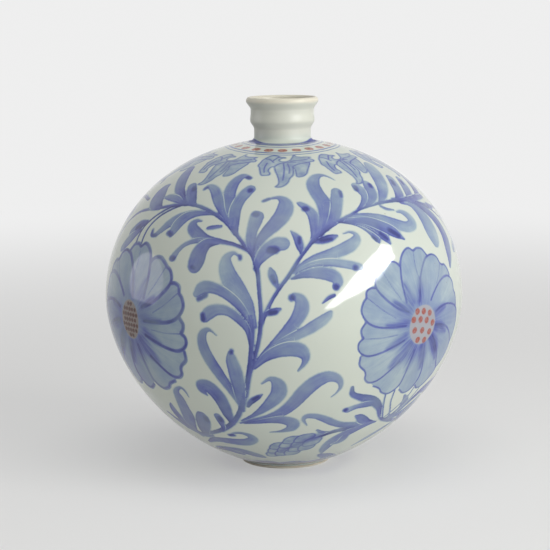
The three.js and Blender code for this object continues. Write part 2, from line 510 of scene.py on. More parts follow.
RIGHT_SPRAY = (
    # The leaves over the right-hand stem
    Stroke(((9.8, 43.5, 2.5), (11, 48, 5), (11.4, 53, 6.3), (11, 58, 6), (9.3, 62, 5), (7, 64.8, 3.4),
            (5.8, 65.6, 1.5)), eye=((8.9, 61.8), (8.1, 61.6)), drop=2.8),
    Stroke(((12.5, 46.5, 3), (15, 53, 7), (16.3, 60, 8.3), (16, 66, 8.3), (14.6, 72, 8), (14, 77.5, 7.5),
            (15.3, 82, 6.2), (18, 85, 4), (21.5, 85.3, 2.2), (24.2, 83.2, 1.4), (25.9, 80.8, 1))),
    Stroke(((15.5, 50, 3), (19, 56, 6), (21, 62, 6.5), (22.6, 67.5, 7), (23.8, 72, 6)),
           eye=((25.4, 72), (25, 69)), drop=1.5),
    Stroke(((10.2, 42.3, 1.5), (13, 43, 4), (15.8, 44.2, 4.2), (18.3, 45.2, 1.8)), Touch.RICH,
           eye=((12.6, 43.2), (16, 43.6)), drop=1.8),
    Stroke(((30, 60, 1.5), (33.5, 63.5, 3), (36.2, 67.5, 5), (36.3, 71.5, 6.3), (35.2, 75, 5.8)),
           eye=((34.3, 74.5), (34, 72.8)), drop=2.6),
    Stroke(((34, 61.3, 1.5), (38.5, 65, 4.5), (41, 69.3, 6.5), (42, 73.8, 6.8), (42.2, 76.3, 5)),
           eye=((43.6, 75.5), (43.3, 73.8)), drop=2.2),
    Stroke(((42, 62.6, 2.5), (46.8, 68.1, 5.8), (51.2, 74.7, 8.6), (54.7, 81.3, 9.4), (58, 86.8, 8.6),
            (60, 90, 7)), Touch.PALE),
    Stroke(((54.6, 62.8, 6), (57.6, 66.7, 7), (60.6, 72.3, 7.2), (63.4, 77.4, 6)),
           eye=((60.6, 73), (62, 75.4)), drop=2.6),
    Stroke(((62.6, 62.4, 5), (65.6, 66, 6.6), (69, 70.4, 7.4), (71.6, 75, 5.6)),
           eye=((69.8, 72), (70.8, 73.8)), drop=2.4),
    Stroke(((71, 61.8, 3), (76, 64.8, 6), (80.5, 69.4, 7), (84.4, 75, 7), (87, 81, 5.4), (86.6, 85, 3.4),
            (84, 86.4, 1.8)), Touch.RICH),
    Stroke(((52, 62.7, 2.4), (59.3, 62.1, 3.4), (69.4, 61.6, 4.2), (78, 61, 3)), Touch.RICH),
    Stroke(((53.5, 60.6, 1.5), (58.5, 58.6, 3), (61.5, 54.2, 7.6), (62.8, 47.5, 12), (62.4, 41.4, 12.6),
            (61.9, 36.2, 8), (61, 33.4, 2)), Touch.PALE),
    Stroke(((59, 60.4, 2), (64, 57.6, 4), (69, 52.4, 7), (72.4, 45, 9.6), (72.8, 37, 10.4), (70, 28.6, 8),
            (67.2, 20.6, 2.4)), Touch.RICH),
    Stroke(((64, 58.6, 1.2), (70, 56, 1.4), (76, 51.6, 1.5), (80.5, 45.5, 1.5), (83, 39, 1.3),
            (83, 34.5, 2.6)), Touch.DARK),
    Stroke(((72, 54.4, 1.5), (75.4, 55, 4.4), (78.6, 53, 2.2)), Touch.RICH),
    # The wide leaf with torn tips, and the pale leaf that curls over it
    Stroke(((20.5, 54, 1.5), (26, 55.3, 3.2), (32, 54.8, 5), (38, 52.3, 6.8), (44, 48.6, 7.2),
            (49, 46.3, 6.6), (52.8, 48, 6.4), (52.6, 52.3, 5.4), (50, 55.4, 3), (47.6, 55.8, 1.6)),
           Touch.PALE),
    Stroke(((20.5, 53.4, 2), (25.5, 53, 4.5), (29.5, 50.5, 6), (32, 46.5, 6), (33, 42.5, 4.5),
            (33.4, 40, 1.5)), Touch.RICH, eye=((31.5, 43.5), (32.5, 41.5)), drop=1.4),
    Stroke(((22, 53.4, 2), (29, 52.2, 5.5), (33.5, 48.5, 7), (36, 43.8, 6), (37.7, 39, 2)), Touch.RICH,
           eye=((35, 45), (37, 41.5)), drop=1.6),
    Stroke(((24, 53.6, 2), (31, 52.6, 5), (36.5, 49, 6.5), (41, 44.8, 6.5), (44.6, 40.2, 1.5)), Touch.RICH,
           eye=((39.5, 46), (42.5, 42.5)), drop=2.6),
    Stroke(((40.8, 60.3, 1.5), (43, 58.3, 2.2), (46.5, 57, 1.2))),
    # The three-fold leaf under the right-hand stem
    Stroke(((3, 27, 1.8), (6, 30.5, 3.5), (10, 33.5, 5), (16, 36, 6.3), (21.5, 39, 7), (24.8, 42.3, 5.5),
            (25.3, 45.3, 3), (23.3, 47.1, 1.7), (20.6, 46.3, 1)), Touch.PALE),
    Stroke(((3.5, 27, 1.5), (8, 30.3, 3), (13, 31.5, 4), (18, 30.8, 4.6), (22.5, 29, 4.6), (24.2, 28.4, 4)),
           Touch.PALE, eye=((22.7, 28),), drop=2.8),
    Stroke(((2.5, 24, 1.5), (6.5, 26, 4), (11, 26.4, 6.3), (15, 24.8, 7), (16.6, 21.8, 5.8),
            (15.8, 19.4, 4.4)), eye=((15.8, 19),), drop=3.2),
)

LOWER_SPRAY = (
    # The leaves at the trunk's left
    Stroke(((-16, -46, 2.5), (-18.3, -36, 4.5), (-21.3, -26, 6.3), (-24, -17, 6.6), (-25.3, -10, 6),
            (-25, -5, 4.6), (-23.3, -2.4, 2.6), (-21.8, -3.2, 1.4), (-20.4, -5.2, 1))),
    Stroke(((-15.5, -50, 3), (-15.3, -41, 5.5), (-15.2, -33, 7), (-15.5, -25, 7.8), (-16.2, -18.5, 6.5),
            (-16.4, -14.5, 3.5)), eye=((-16.3, -14), (-16, -12.9)), drop=1.8),
    Stroke(((-21.5, -61, 3), (-22, -54, 6), (-22.3, -47, 7.5), (-23.5, -40.5, 8.3), (-26, -35.3, 8.5),
            (-28.6, -35, 7), (-29, -38, 4.5), (-27.6, -41.3, 1.2)), Touch.RICH),
    Stroke(((-58, -62, 2), (-54, -68, 4.5), (-49, -73.5, 5.5), (-43, -77.5, 4.5), (-37, -76.5, 2.5)),
           Touch.RICH),
    Stroke(((-51.5, -73, 3.5), (-50.4, -67.5, 5.6), (-50.1, -61.5, 6.4), (-49.8, -56.6, 5),
            (-48.8, -52.4, 1.8)), Touch.RICH),
    Stroke(((-47.5, -75, 3.5), (-45.5, -67.5, 7.4), (-42.7, -59.3, 9), (-41.8, -52.5, 8), (-41.3, -46.6, 7),
            (-41.4, -42.5, 4.6), (-40, -39.6, 3), (-38, -38.2, 2), (-36.6, -40.4, 1.8), (-36.1, -44.2, 1))),
    Stroke(((-41.5, -77, 3), (-39.5, -71.6, 6.6), (-37.1, -66.4, 8.4), (-35.4, -61.6, 9),
            (-34.5, -57.6, 6.6)), Touch.RICH, eye=((-33.4, -61.5), (-33, -58.8)), drop=2.8),
    Stroke(((-28.5, -70, 1.6), (-26.9, -66, 2.6), (-26.7, -62.5, 3.6), (-26.5, -59.4, 4.9),
            (-26.8, -56.2, 4.4)), Touch.RICH, eye=((-26.3, -60), (-26.4, -57.6)), drop=2.6),
    # The hooked leaves at the trunk's right
    Stroke(((-17, -58.5, 1.5), (-12, -54, 2.8), (-8, -49, 5), (-4.6, -43.5, 7.2), (-2.2, -38, 8.4),
            (-1.9, -33, 7.8), (-3, -29.6, 5), (-5, -28.5, 2.6), (-7.4, -31.4, 1.4))),
    Stroke(((-18, -60.5, 1.5), (-12, -57.3, 2.8), (-6, -54.5, 4.5), (-1, -50.5, 6.5), (2.8, -44.5, 7.5),
            (6.2, -37, 8.5), (9.8, -31, 8.5), (13.8, -28, 7), (17.3, -30, 4.6), (18.6, -34.5, 2.6),
            (17.6, -38.5, 1.4), (15.9, -41.3, 1))),
    Stroke(((-16, -60.5, 1.5), (-11, -59, 3), (-6, -57.5, 4.5), (-1, -57, 6.5), (2.8, -59.5, 7.5),
            (2.6, -63.8, 6), (-0.5, -66.3, 3.2), (-3.5, -67.3, 1.8), (-6.5, -67.8, 1.2))),
    Stroke(((-13.2, -47, 2), (-11.8, -43.5, 3.6), (-9.6, -40.8, 3.4), (-7.6, -38.3, 1.2)), Touch.RICH,
           eye=((-11, -42), (-9, -40)), drop=1.6),
    # The curl at the root
    Stroke(((-46, -86, 2), (-38, -81, 5), (-31, -80.2, 6.5), (-24.5, -80.3, 7.5), (-19, -79.3, 7.5),
            (-15.2, -75.8, 6), (-16, -72, 4), (-19.5, -69.9, 2.6), (-23.3, -70.6, 2), (-26, -73.2, 1.4)),
           eye=((-26, -73.2), (-24, -72.8)), drop=2.2),
    Stroke(((-48, -95, 3), (-42, -92.5, 6), (-36, -92.5, 7), (-31, -95.5, 5.5), (-28, -98, 2)), Touch.RICH),
    Stroke(((-36, -89.5, 2.5), (-28.4, -90.8, 5.6), (-23.4, -93.6, 7.4), (-18.2, -97.2, 6.4),
            (-14.5, -99.6, 2.6))),
    # The leaves on the flower's stalk
    Stroke(((35, -49.6, 3), (31, -49.4, 4.5), (27, -50, 4), (23.8, -51.8, 4.6)), eye=((22.7, -51.8),),
           drop=2.8),
    Stroke(((42, -66.3, 1.5), (34, -66.3, 3.5), (28.5, -65, 5), (23.7, -63.8, 4.8), (19.5, -61.2, 5),
            (15.5, -57.6, 5), (11.6, -54.8, 4.3), (8.2, -54.4, 3.8), (6.9, -57.3, 2.4), (8.7, -62.3, 1))),
    Stroke(((41, -66.3, 2), (36.5, -64.8, 4.5), (33, -62, 6), (30.5, -59, 4.6), (28.4, -57.5, 1.6)),
           Touch.RICH),
    Stroke(((30, -68.3, 2), (24, -68.5, 3), (19, -70, 2.6), (15.5, -69, 2.8), (13.6, -67, 2)), Touch.RICH),
    Stroke(((27, -69, 2), (21, -70, 3), (16.5, -73, 2.4), (12.5, -75.6, 1.4)), Touch.DARK),
    Stroke(((40, -66.5, 2), (34, -69.5, 5), (28.5, -73.5, 7.5), (24.5, -78.5, 8), (22.5, -84, 7),
            (22, -90, 5), (23, -95.5, 1.6))),
    Stroke(((29, -73, 3), (29.3, -78, 5), (28.3, -82, 4), (25, -83.8, 1.8))),
    Stroke(((47, -66, 2), (51.5, -63.5, 5.5), (54.3, -59, 7.5), (53, -53.5, 5.5), (49.8, -48.3, 1.6)),
           Touch.RICH),
    Stroke(((52, -67, 2), (58, -64.5, 5), (63, -60, 6), (66, -55, 3))),
    Stroke(((60, -72, 2), (53, -78, 5), (47, -85, 5), (43, -91, 2)), Touch.PALE),
    Stroke(((22, -97.5, 2), (26, -99.5, 6), (31, -102.5, 8), (37, -107, 8), (44, -112, 6), (50, -115, 3))),
)

STEMS = (
    Stroke(((-46, -79, 3), (-38, -74.5, 3), (-32, -71, 3.2), (-27, -67.5, 3.5), (-22, -62, 3.5),
            (-18.5, -56, 3.2), (-16, -49, 3), (-14, -42, 3), (-12.3, -33, 2.8), (-11, -23, 2.6),
            (-9.9, -12, 2.8), (-9.5, -2, 3.2), (-9.9, 5, 2.4)), Touch.STEM),
    Stroke(((-13, -40, 2), (-11.4, -29, 2), (-9.6, -19.5, 2.2), (-7.8, -9, 2.3), (-6.9, 0, 2.5),
            (-6.8, 8, 2.4), (-7.3, 17, 2.3), (-7.8, 25, 2.4), (-8.6, 31, 2.8), (-10, 36, 2.6),
            (-12.8, 41, 2.2), (-16, 46.5, 2.2), (-20, 52.3, 2.2), (-25, 57, 2.2), (-30, 60.3, 2.2),
            (-36, 62.5, 2.3), (-42, 62.8, 2.2), (-48.7, 61.4, 2.2), (-55.7, 58.6, 2.2), (-63, 56.6, 2.2),
            (-70, 53.6, 2.2), (-75.5, 48, 2), (-78.6, 41, 1.8), (-80, 34, 1.4)), Touch.STEM),
    Stroke(((-46, 61.8, 1.5), (-49.4, 60, 1.5), (-54.3, 54.7, 1.5), (-58, 48.4, 1.5), (-59.4, 42.3, 1.5),
            (-58.9, 34, 1.5)), Touch.DARK),
    Stroke(((-44, 62, 1.5), (-47.8, 59, 1.5), (-52.4, 53.9, 1.5), (-55.3, 47.3, 1.5), (-55.9, 41, 1.5),
            (-55, 34, 1.5)), Touch.DARK),
    Stroke(((-6.6, 2, 2.4), (-5.2, 8, 2.2), (-3, 15, 2.1), (-0.8, 20.5, 2.1), (1.5, 25.5, 2.1), (4.5, 33, 2),
            (7.5, 39, 2.1), (10.5, 44.5, 2.6), (15, 49.5, 2.4), (20.5, 53.6, 2), (26, 57, 1.8), (31, 60, 1.8),
            (38, 61.9, 1.9), (44, 62.7, 2.1), (52.6, 62.6, 2.4), (60, 61.8, 2.2)), Touch.STEM),
    Stroke(((22.8, -36, 2), (23.5, -40.5, 3.5), (26.7, -43.3, 4.5), (31.3, -46, 6), (35.2, -49.5, 5.5),
            (38.5, -54.5, 4), (41.1, -60, 3), (45, -65, 2.5), (50.2, -67.8, 3), (56.1, -70, 3),
            (64, -71, 2.4), (72, -69, 2)), Touch.STEM),
    Stroke(((37.8, -41.7, 1.2), (38.8, -48.3, 1.2), (41.1, -56, 1.2), (43.7, -62.2, 1.4)), Touch.RICH),
    Stroke(((41.8, -41.7, 1.2), (43, -50.5, 1.2), (45.7, -57.2, 1.2), (48.9, -63.9, 1.4), (51.5, -67, 1.4)),
           Touch.RICH),
)

# The flower's lines, in millimetres right of and above the middle of its disc
PETALS = (
    ((-3, 12.5), (-1.7, 19), (-0.3, 24), (2.5, 28.5), (6.5, 32.5), (10, 34), (14.5, 34.3), (18.3, 32.5),
     (20, 29.5), (22, 28.2), (25, 27.7), (27.8, 24.8), (29, 22)),
    ((6.5, 12), (9, 14.8), (13.5, 18.5), (18.5, 21), (23.5, 22), (28.5, 21), (31.8, 17.8), (32.6, 13.5),
     (34.6, 10.5), (35.2, 5)),
    ((10.5, 5.5), (15, 7), (21.5, 7.8), (28.5, 6.8), (33.5, 5), (36.7, 2.2), (37.6, -1.5), (38, -6),
     (37, -11), (34.7, -15.5)),
    ((11.5, -1.5), (17.5, -2.5), (23.5, -4.5), (28.5, -8), (32.5, -12.5), (34.7, -16.3), (33.6, -21.5),
     (30.5, -25.5), (27.2, -27.6)),
    ((9.5, -7), (14, -12), (19.5, -18.5), (22.5, -24), (26, -28), (25.5, -31), (21, -34.8), (16, -37.2),
     (12, -37), (9.2, -35)),
    ((4, -12), (5.5, -18), (8, -24), (9, -28.5), (8.5, -32.5), (5.5, -37), (0.5, -37.8), (-4.5, -35)),
    ((-4, -13), (-5, -20), (-5.5, -27), (-6.5, -32.5), (-11.5, -36), (-17, -34.7), (-20, -32), (-24.5, -30)),
    ((-13, -18), (-17, -21.5), (-23, -26.6), (-28, -27.6), (-31.3, -25.3), (-32, -22.5), (-33.4, -20.3),
     (-37, -17), (-37.7, -12.5)),
    ((-13, -6.5), (-21, -9.6), (-27, -11.6), (-33, -12.5), (-37.3, -11), (-39.8, -8), (-39.8, -4.7),
     (-37.9, -2.7), (-39, -1), (-39.4, 2), (-37.5, 5)),
    ((-13, 1), (-21, 1.2), (-29, 2), (-34.5, 4), (-38, 7.5), (-39.3, 11.5), (-38, 15.5), (-36.3, 17.6),
     (-35.6, 20.8), (-33, 22.3), (-30.3, 22)),
    ((-11.5, 8), (-18, 10.5), (-24, 14.7), (-29, 20), (-30.3, 24), (-28.5, 28), (-25.5, 30), (-23.6, 31.6),
     (-19.5, 34), (-15.5, 33.5), (-13, 31)),
    ((-12.5, 13), (-14, 21.5), (-13.5, 28.5), (-11.5, 34.5), (-7.5, 38.3), (-3.5, 39.5), (-0.7, 37.8),
     (2.5, 38.8), (6.5, 38), (9.5, 34.3)),
)
PETAL_FOLDS = (
    ((-1, 22), (-2.3, 30), (-1, 37)),
    ((20, 29), (16, 23), (13, 19.5)),
    ((-25, 30), (-21, 22), (-16, 15)),
    ((-36, 18), (-28, 11), (-20, 6)),
    ((-38, -3), (-28, -3.6), (-18, -3)),
)
PETAL_SHADES = (
    ((10.5, 5, 3), (15, 6.3, 3.5), (20, 7, 1.5)),
    ((11.5, -3, 3.5), (17, -4, 4), (23, -7, 1.5)),
    ((8.5, -8, 5), (14, -14, 5.5), (19, -21, 1.5)),
    ((2.5, -12, 5), (4.5, -18, 5), (6, -24, 1.5)),
    ((-4, -12.5, 6), (-5.5, -18, 5.5), (-6, -24, 1.5)),
    ((-9.5, -10, 7), (-13, -15, 7), (-18, -20, 2)),
    ((-13, -5, 4), (-18, -8, 4), (-23, -10, 1.5)),
    ((-12.5, 2, 3), (-18, 2, 2.6), (-25, 2.5, 1)),
    ((-10.5, 9, 4), (-15, 11, 3.5), (-20, 13.5, 1.5)),
    ((-3, 12.5, 3), (-2, 17, 3), (-1, 23, 1.2)),
    ((-9, 13, 5), (-11, 17, 4), (-12.5, 22, 1.5)),
)
SEEDS = ((-5, 7.5), (0, 7), (5, 5.5), (-7.8, 3.5), (-2.5, 3), (2.5, 2), (8, 0), (-6.5, -2.2), (-0.5, -3),
         (5.8, -4.5), (-3, -7.7), (2.5, -8.5))
DISC_RADIUS = 10.2
SEED_RADIUS = 1.75
FINE_SEED_RADIUS = 1.05
FINE_SEED_PITCH = 3.2
FINE_SEED_ROWS = 4  # to each side of the disc's middle
FOLD_HALF = -0.35  # mm added to each side of a fold's line, which makes it thinner
PETAL_TIPS = 30.0  # mm from the disc's middle, past which the petals' lines are the flower's edge
EDGE_STEPS = 120  # directions in which the flower's edge is kept
FLOWER_SIDE = 70  # degrees to each side of a flower, over which the wall faces its way

# The outline of a lappet, in degrees from its middle and millimetres up, clockwise from its left shoulder
LAPPET_OUTLINE = (
    (-13, 103), (-10.5, 105.5), (-7.5, 106.6), (-4.5, 106.2), (-2, 104.9), (1, 104.3), (1.6, 103.3),
    (-1, 103), (-3, 101.2), (-1.5, 99.4), (2, 99.5), (4.7, 101), (6.6, 104), (8.6, 107), (9.6, 105.3),
    (12.5, 104.4), (18, 104.2), (20.4, 103.7), (18.4, 102.6), (21, 100.6), (20.4, 99), (17.5, 98.4),
    (16.6, 96), (15.2, 93.5), (13.6, 90.3), (12.2, 87.2), (9.8, 85), (7, 84.8), (6.6, 87.3), (6.6, 90.5),
    (5.4, 94), (5.6, 90.5), (4.8, 86.3), (3, 83.6), (2, 80.6), (0.2, 78), (-2, 76.8), (-4, 77),
    (-2.7, 79), (-2.6, 82), (-3.4, 86), (-4.7, 90), (-5.8, 94), (-7.6, 93.6), (-8.7, 90.6), (-7.5, 88.2),
    (-7.7, 86.7), (-10, 86.2), (-12, 86.5), (-13.4, 90), (-14.6, 93.4), (-15.8, 95.2), (-15.2, 98),
    (-14.4, 101),
)
LAPPET_VEINS = (
    ((-12.5, 102.4), (-10, 102), (-8, 100.4), (-6.6, 98.6)),
    ((-7.6, 99.6), (-5.8, 102), (-4, 104), (-2.4, 104.6)),
    ((-5.6, 94.2), (-3.6, 96.4), (-1, 97.8), (3, 98.4), (8, 98.6)),
    ((0, 97.4), (0.3, 92), (0, 87), (-0.6, 82)),
    ((2.6, 97), (3.4, 92), (3, 88)),
    ((4.6, 99.4), (8, 100.4), (12, 100.6), (17, 101.6)),
    ((5.6, 94.4), (9, 96.4), (13, 97.4), (17.4, 98.4)),
    ((-10.6, 98), (-11.4, 93), (-10.8, 89)),
)
LAPPETS = 9
LAPPET_TURN = 0.5  # degrees that the first lappet stands right of the front

BUD_STALK = (15, -72.5)
BUD_TIP = (-9, -95)
BUD_ROWS = ((-3.4, 3.4), (-6.2, 0, 6.2), (-3.6, 3.6), (-6, 0, 6), (-3, 3), (0,))  # mm across the bud
BUD_START = 2.0  # mm from the stalk to the roots of the first scales
BUD_END = 9.0  # mm from the roots of the last ones to the bud's tip
BUD_TAPER = 0.8  # how close the scales' roots stand, as a share of how their ends stand
SCALE_LENGTH = 8.0
SCALE_BREADTHS = (4.0, 7.6, 3.4)  # at a scale's root, middle and end
BUD_SHADE = (0.0, 9.0, 24.0)  # mm from the stalk, along which the bud is shaded
BUD_SHADE_BREADTHS = (5.0, 1.5)

FOOT_LEAVES = 15
FOOT_LEAF = (
    (-12, -119, 2.5), (-6, -115.6, 7), (2, -112.8, 9), (10, -111.8, 8.4), (17, -113, 4.6), (21, -115, 1.4),
)

SHOULDER_DOTS = 22
SHOULDER_DOT_RADIUS = 25.8  # of the ring of dots, from the axis
SHOULDER_DOT = (5.2, 4.4)  # along and across the ring
RING_STRETCH = 1.2  # how far the rings round the neck are drawn out to the front


@dataclass(frozen=True)
class Flower:
    """One open flower on the widest part of the globe."""

    around: float
    up: float
    flip: bool = False
    line_half: float = 0.0  # mm that its outlines are thicker to each side
    fine_seeds: bool = False
    disc_squeeze: float = 1.0  # how much narrower than high its disc is

    def seeds(self) -> tuple[np.ndarray, float]:
        """Gives the spots of the disc's seeds, right of and above its middle, and their radius."""
        if not self.fine_seeds:
            return np.array(SEEDS, dtype=float), SEED_RADIUS
        steps = np.arange(-FINE_SEED_ROWS, FINE_SEED_ROWS + 1) * FINE_SEED_PITCH
        across, rows = np.meshgrid(steps, steps * math.sqrt(3) / 2)
        across = across + np.where(np.arange(len(steps)) % 2, FINE_SEED_PITCH / 2, 0)[:, None]
        kept = np.hypot(across, rows) < DISC_RADIUS - FINE_SEED_RADIUS
        return np.column_stack([across[kept] / self.disc_squeeze, rows[kept]]), FINE_SEED_RADIUS

    def spread(self, wall: WallLine, spots: np.ndarray) -> np.ndarray:
        """Gives the places in space of spots drawn right of and above the disc's middle."""
        right = -spots[:, 0] if self.flip else spots[:, 0]
        height = wall.section(self.up)[1] + spots[:, 1]
        radius = wall.radius_at(height)
        angle = np.radians(self.around) + np.arcsin(right / radius)
        return np.stack([radius * np.sin(angle), -radius * np.cos(angle), height], axis=-1)

    def read(self, wall: WallLine, places: np.ndarray) -> tuple[np.ndarray, np.ndarray, np.ndarray]:
        """Gives how far places lie right of and above the disc's middle, and which lie on its side."""
        radius = np.hypot(places[:, 0], places[:, 1])
        turn = np.arctan2(places[:, 0], -places[:, 1]) - np.radians(self.around)
        turn = (turn + np.pi) % (2 * np.pi) - np.pi
        right = radius * np.sin(turn) * (-1 if self.flip else 1)
        return right, places[:, 2] - wall.section(self.up)[1], np.abs(turn) < np.radians(FLOWER_SIDE)

    @staticmethod
    def reach() -> tuple[np.ndarray, np.ndarray]:
        """Gives the flower's outline as directions from its middle and the distances to it."""
        spots = np.vstack([smooth_line(np.array(petal, dtype=float)) for petal in PETALS])
        direction = np.arctan2(spots[:, 1], spots[:, 0])
        distance = np.hypot(spots[:, 0], spots[:, 1])
        bins = np.linspace(-np.pi, np.pi, EDGE_STEPS + 1)
        middles, reaches = [], []
        for low, high in zip(bins[:-1], bins[1:]):
            inside = (direction >= low) & (direction < high)
            if inside.any() and distance[inside].max() > PETAL_TIPS:
                middles.append((low + high) / 2)
                reaches.append(distance[inside].max())
        return np.array(middles), np.array(reaches)


@dataclass(frozen=True)
class Field:
    """A third of the globe's scroll, folded from the front one about a flower and stretched."""

    hinge: float = 0.0
    stretch: float = 1.0
    ends: Span = (-180.0, 180.0)  # the front's degrees that are kept
    leaf_ends: Span = (-180.0, 180.0)  # of the leaves above the flowers
    drift: float = 0.0  # mm up, and degrees around, that the brush strays from the front's lines

    def lay(self, wall: WallLine, path: np.ndarray) -> np.ndarray:
        """Gives the places in space of a path that is drawn for the front."""
        around = self.hinge + (path[:, 0] - self.hinge) * self.stretch
        up = path[:, 1] + self.drift * np.sin(np.radians(around * DRIFT_WAVES))
        return wall.place(around + self.drift * np.sin(path[:, 1] / DRIFT_HEIGHT), up)

    def keeps(self, path: np.ndarray) -> bool:
        """Tells whether a whole path lies between the field's ends."""
        low, high = self.leaf_ends if path[:, 1].mean() > ABOVE_FLOWERS else self.ends
        return bool(((path[:, 0] > low) & (path[:, 0] < high)).all())


class Painting:
    """Everything that is brushed on the globe, in the order in which it is brushed."""

    flowers = (
        Flower(-55.4, -3, flip=True, line_half=0.45, fine_seeds=True, disc_squeeze=1.26),
        Flower(47.2, -5.3),
        Flower(175.9, -4, line_half=0.1),
    )
    fields = (
        Field(),
        Field(hinge=47.2, stretch=-1.255, ends=(-57.0, 50.0), leaf_ends=(-57.0, 23.5), drift=1.1),
        Field(hinge=-55.4, stretch=-1.255, ends=(-44.0, 50.0), leaf_ends=(-38.0, 50.0), drift=-1.1),
    )

    def __init__(self, wall: WallLine) -> None:
        """Readies the painting for one wall."""
        self.wall = wall
        self.outline = Flower.reach()

    def cover(self, places: np.ndarray) -> dict[str, np.ndarray]:
        """Paints vertices.

        Args:
            places: The vertices in millimetres, one row each.

        Returns:
            The attributes that the glaze's shader reads, three numbers for each vertex.
        """
        canvas = Canvas(self.wall, places)
        self.leaves(canvas)
        self.foot_leaves(canvas)
        self.buds(canvas)
        self.lappets(canvas)
        self.shoulder_dots(canvas)
        for flower in self.flowers:
            self.flower(canvas, flower)
        return canvas.attributes()

    def leaves(self, canvas: Canvas) -> None:
        """Brushes the stems and the leaves of all three fields."""
        sprays = LEFT_SPRAY + MIDDLE_SPRAY + RIGHT_SPRAY + LOWER_SPRAY
        for laid in self.fields:
            for stem in STEMS:
                kept = tuple(spot for spot in stem.path if laid.ends[0] < spot[0] < laid.ends[1])
                if len(kept) > 2:
                    canvas.lay(Stroke(kept, stem.touch), laid)
            for stroke in sprays:
                if laid.keeps(np.array(stroke.path, dtype=float)):
                    canvas.lay(stroke, laid)

    def foot_leaves(self, canvas: Canvas) -> None:
        """Brushes the ring of short pointed leaves above the foot."""
        for number in range(FOOT_LEAVES):
            turn = number * 360 / FOOT_LEAVES
            canvas.lay(Stroke(FOOT_LEAF, Touch.DARK), Field(), turn)

    def buds(self, canvas: Canvas) -> None:
        """Draws the scaly bud of each field, each row of scales under the row nearer its stalk."""
        stalk, tip = np.array(BUD_STALK, dtype=float), np.array(BUD_TIP, dtype=float)
        degree = math.radians(1) * float(self.wall.section((stalk[1] + tip[1]) / 2)[0])
        way = (tip - stalk) * (degree, 1)
        length = float(np.hypot(*way))
        way /= length
        across = np.array([-way[1], way[0]])
        pitch = (length - BUD_END) / (len(BUD_ROWS) - 1)
        heart = np.array([stalk + way * run / (degree, 1) for run in BUD_SHADE])
        for laid in self.fields:
            for row in reversed(range(len(BUD_ROWS))):
                for offset in BUD_ROWS[row]:
                    root = way * (BUD_START + pitch * row) + across * offset * BUD_TAPER
                    end = way * (BUD_START + SCALE_LENGTH + pitch * row) + across * offset
                    scale = np.array([root, (root + end) / 2, end]) / (degree, 1) + stalk
                    path = np.column_stack([scale, SCALE_BREADTHS])
                    canvas.outlined(smooth_line(path), laid)
            self.shade(canvas, heart, laid)

    def shade(self, canvas: Canvas, line: np.ndarray, laid: Field) -> None:
        """Brushes a soft dark touch that fades along a line of places."""
        path = smooth_line(np.column_stack([line, np.linspace(*BUD_SHADE_BREADTHS, len(line))]))
        canvas.lower(canvas.shades, canvas.sweep(laid.lay(self.wall, path), path[:, 2] / 2))

    def lappets(self, canvas: Canvas) -> None:
        """Draws the three-lobed lappets that hang from the bands round the neck."""
        for number in range(LAPPETS):
            turn = LAPPET_TURN + number * 360 / LAPPETS
            outline = np.array(LAPPET_OUTLINE, dtype=float) + (turn, 0)
            veins = [np.array(vein, dtype=float) + (turn, 0) for vein in LAPPET_VEINS]
            canvas.enclosed(outline, veins, Field(hinge=turn))

    def shoulder_dots(self, canvas: Canvas) -> None:
        """Dots the red ring between the bands on the shoulder, drawn out to the front like them."""
        along, across = SHOULDER_DOT
        half = (along - across) / 2 / SHOULDER_DOT_RADIUS
        for number in range(SHOULDER_DOTS):
            turn = number * 2 * math.pi / SHOULDER_DOTS + np.array([-half, half])
            right, ahead = SHOULDER_DOT_RADIUS * np.sin(turn), SHOULDER_DOT_RADIUS * np.cos(turn)
            ahead = np.where(ahead > 0, ahead * RING_STRETCH, ahead)
            ups = [self.wall.up_of_radius(radius) for radius in np.hypot(right, ahead)]
            line = self.wall.place(np.degrees(np.arctan2(right, ahead)), np.array(ups))
            canvas.lower(canvas.dots, canvas.sweep(line, np.full(2, across / 2)))

    def flower(self, canvas: Canvas, flower: Flower) -> None:
        """Paints a flower over what is already there."""
        right, above, facing = flower.read(self.wall, canvas.places)
        distance = np.hypot(right, above)
        direction = np.arctan2(above, right)
        reach = np.interp(direction, *self.outline, period=2 * np.pi)
        beyond = np.where(facing, distance - reach, FAR)
        inside = beyond < 0
        canvas.clear(inside)
        near = beyond < canvas.flower[:, 2]
        canvas.flower[near] = np.column_stack([right, above, beyond])[near]
        outside_disc = np.hypot(right * flower.disc_squeeze, above) - DISC_RADIUS
        canvas.discs = np.where(facing, np.minimum(canvas.discs, outside_disc), canvas.discs)
        for lines, half in ((PETALS, flower.line_half), (PETAL_FOLDS, FOLD_HALF)):
            for points in lines:
                line = smooth_line(np.array(points, dtype=float))
                swept = canvas.sweep(flower.spread(self.wall, line), np.full(len(line), half))
                canvas.lower(canvas.lines, swept)
        for points in PETAL_SHADES:
            line = smooth_line(np.array(points, dtype=float))
            canvas.lower(canvas.shades, canvas.sweep(flower.spread(self.wall, line), line[:, 2] / 2))
        spots, radius = flower.seeds()
        for seed in spots:
            spot = flower.spread(self.wall, np.array([seed, seed]))
            canvas.lower(canvas.dots, canvas.sweep(spot, np.full(2, radius)))


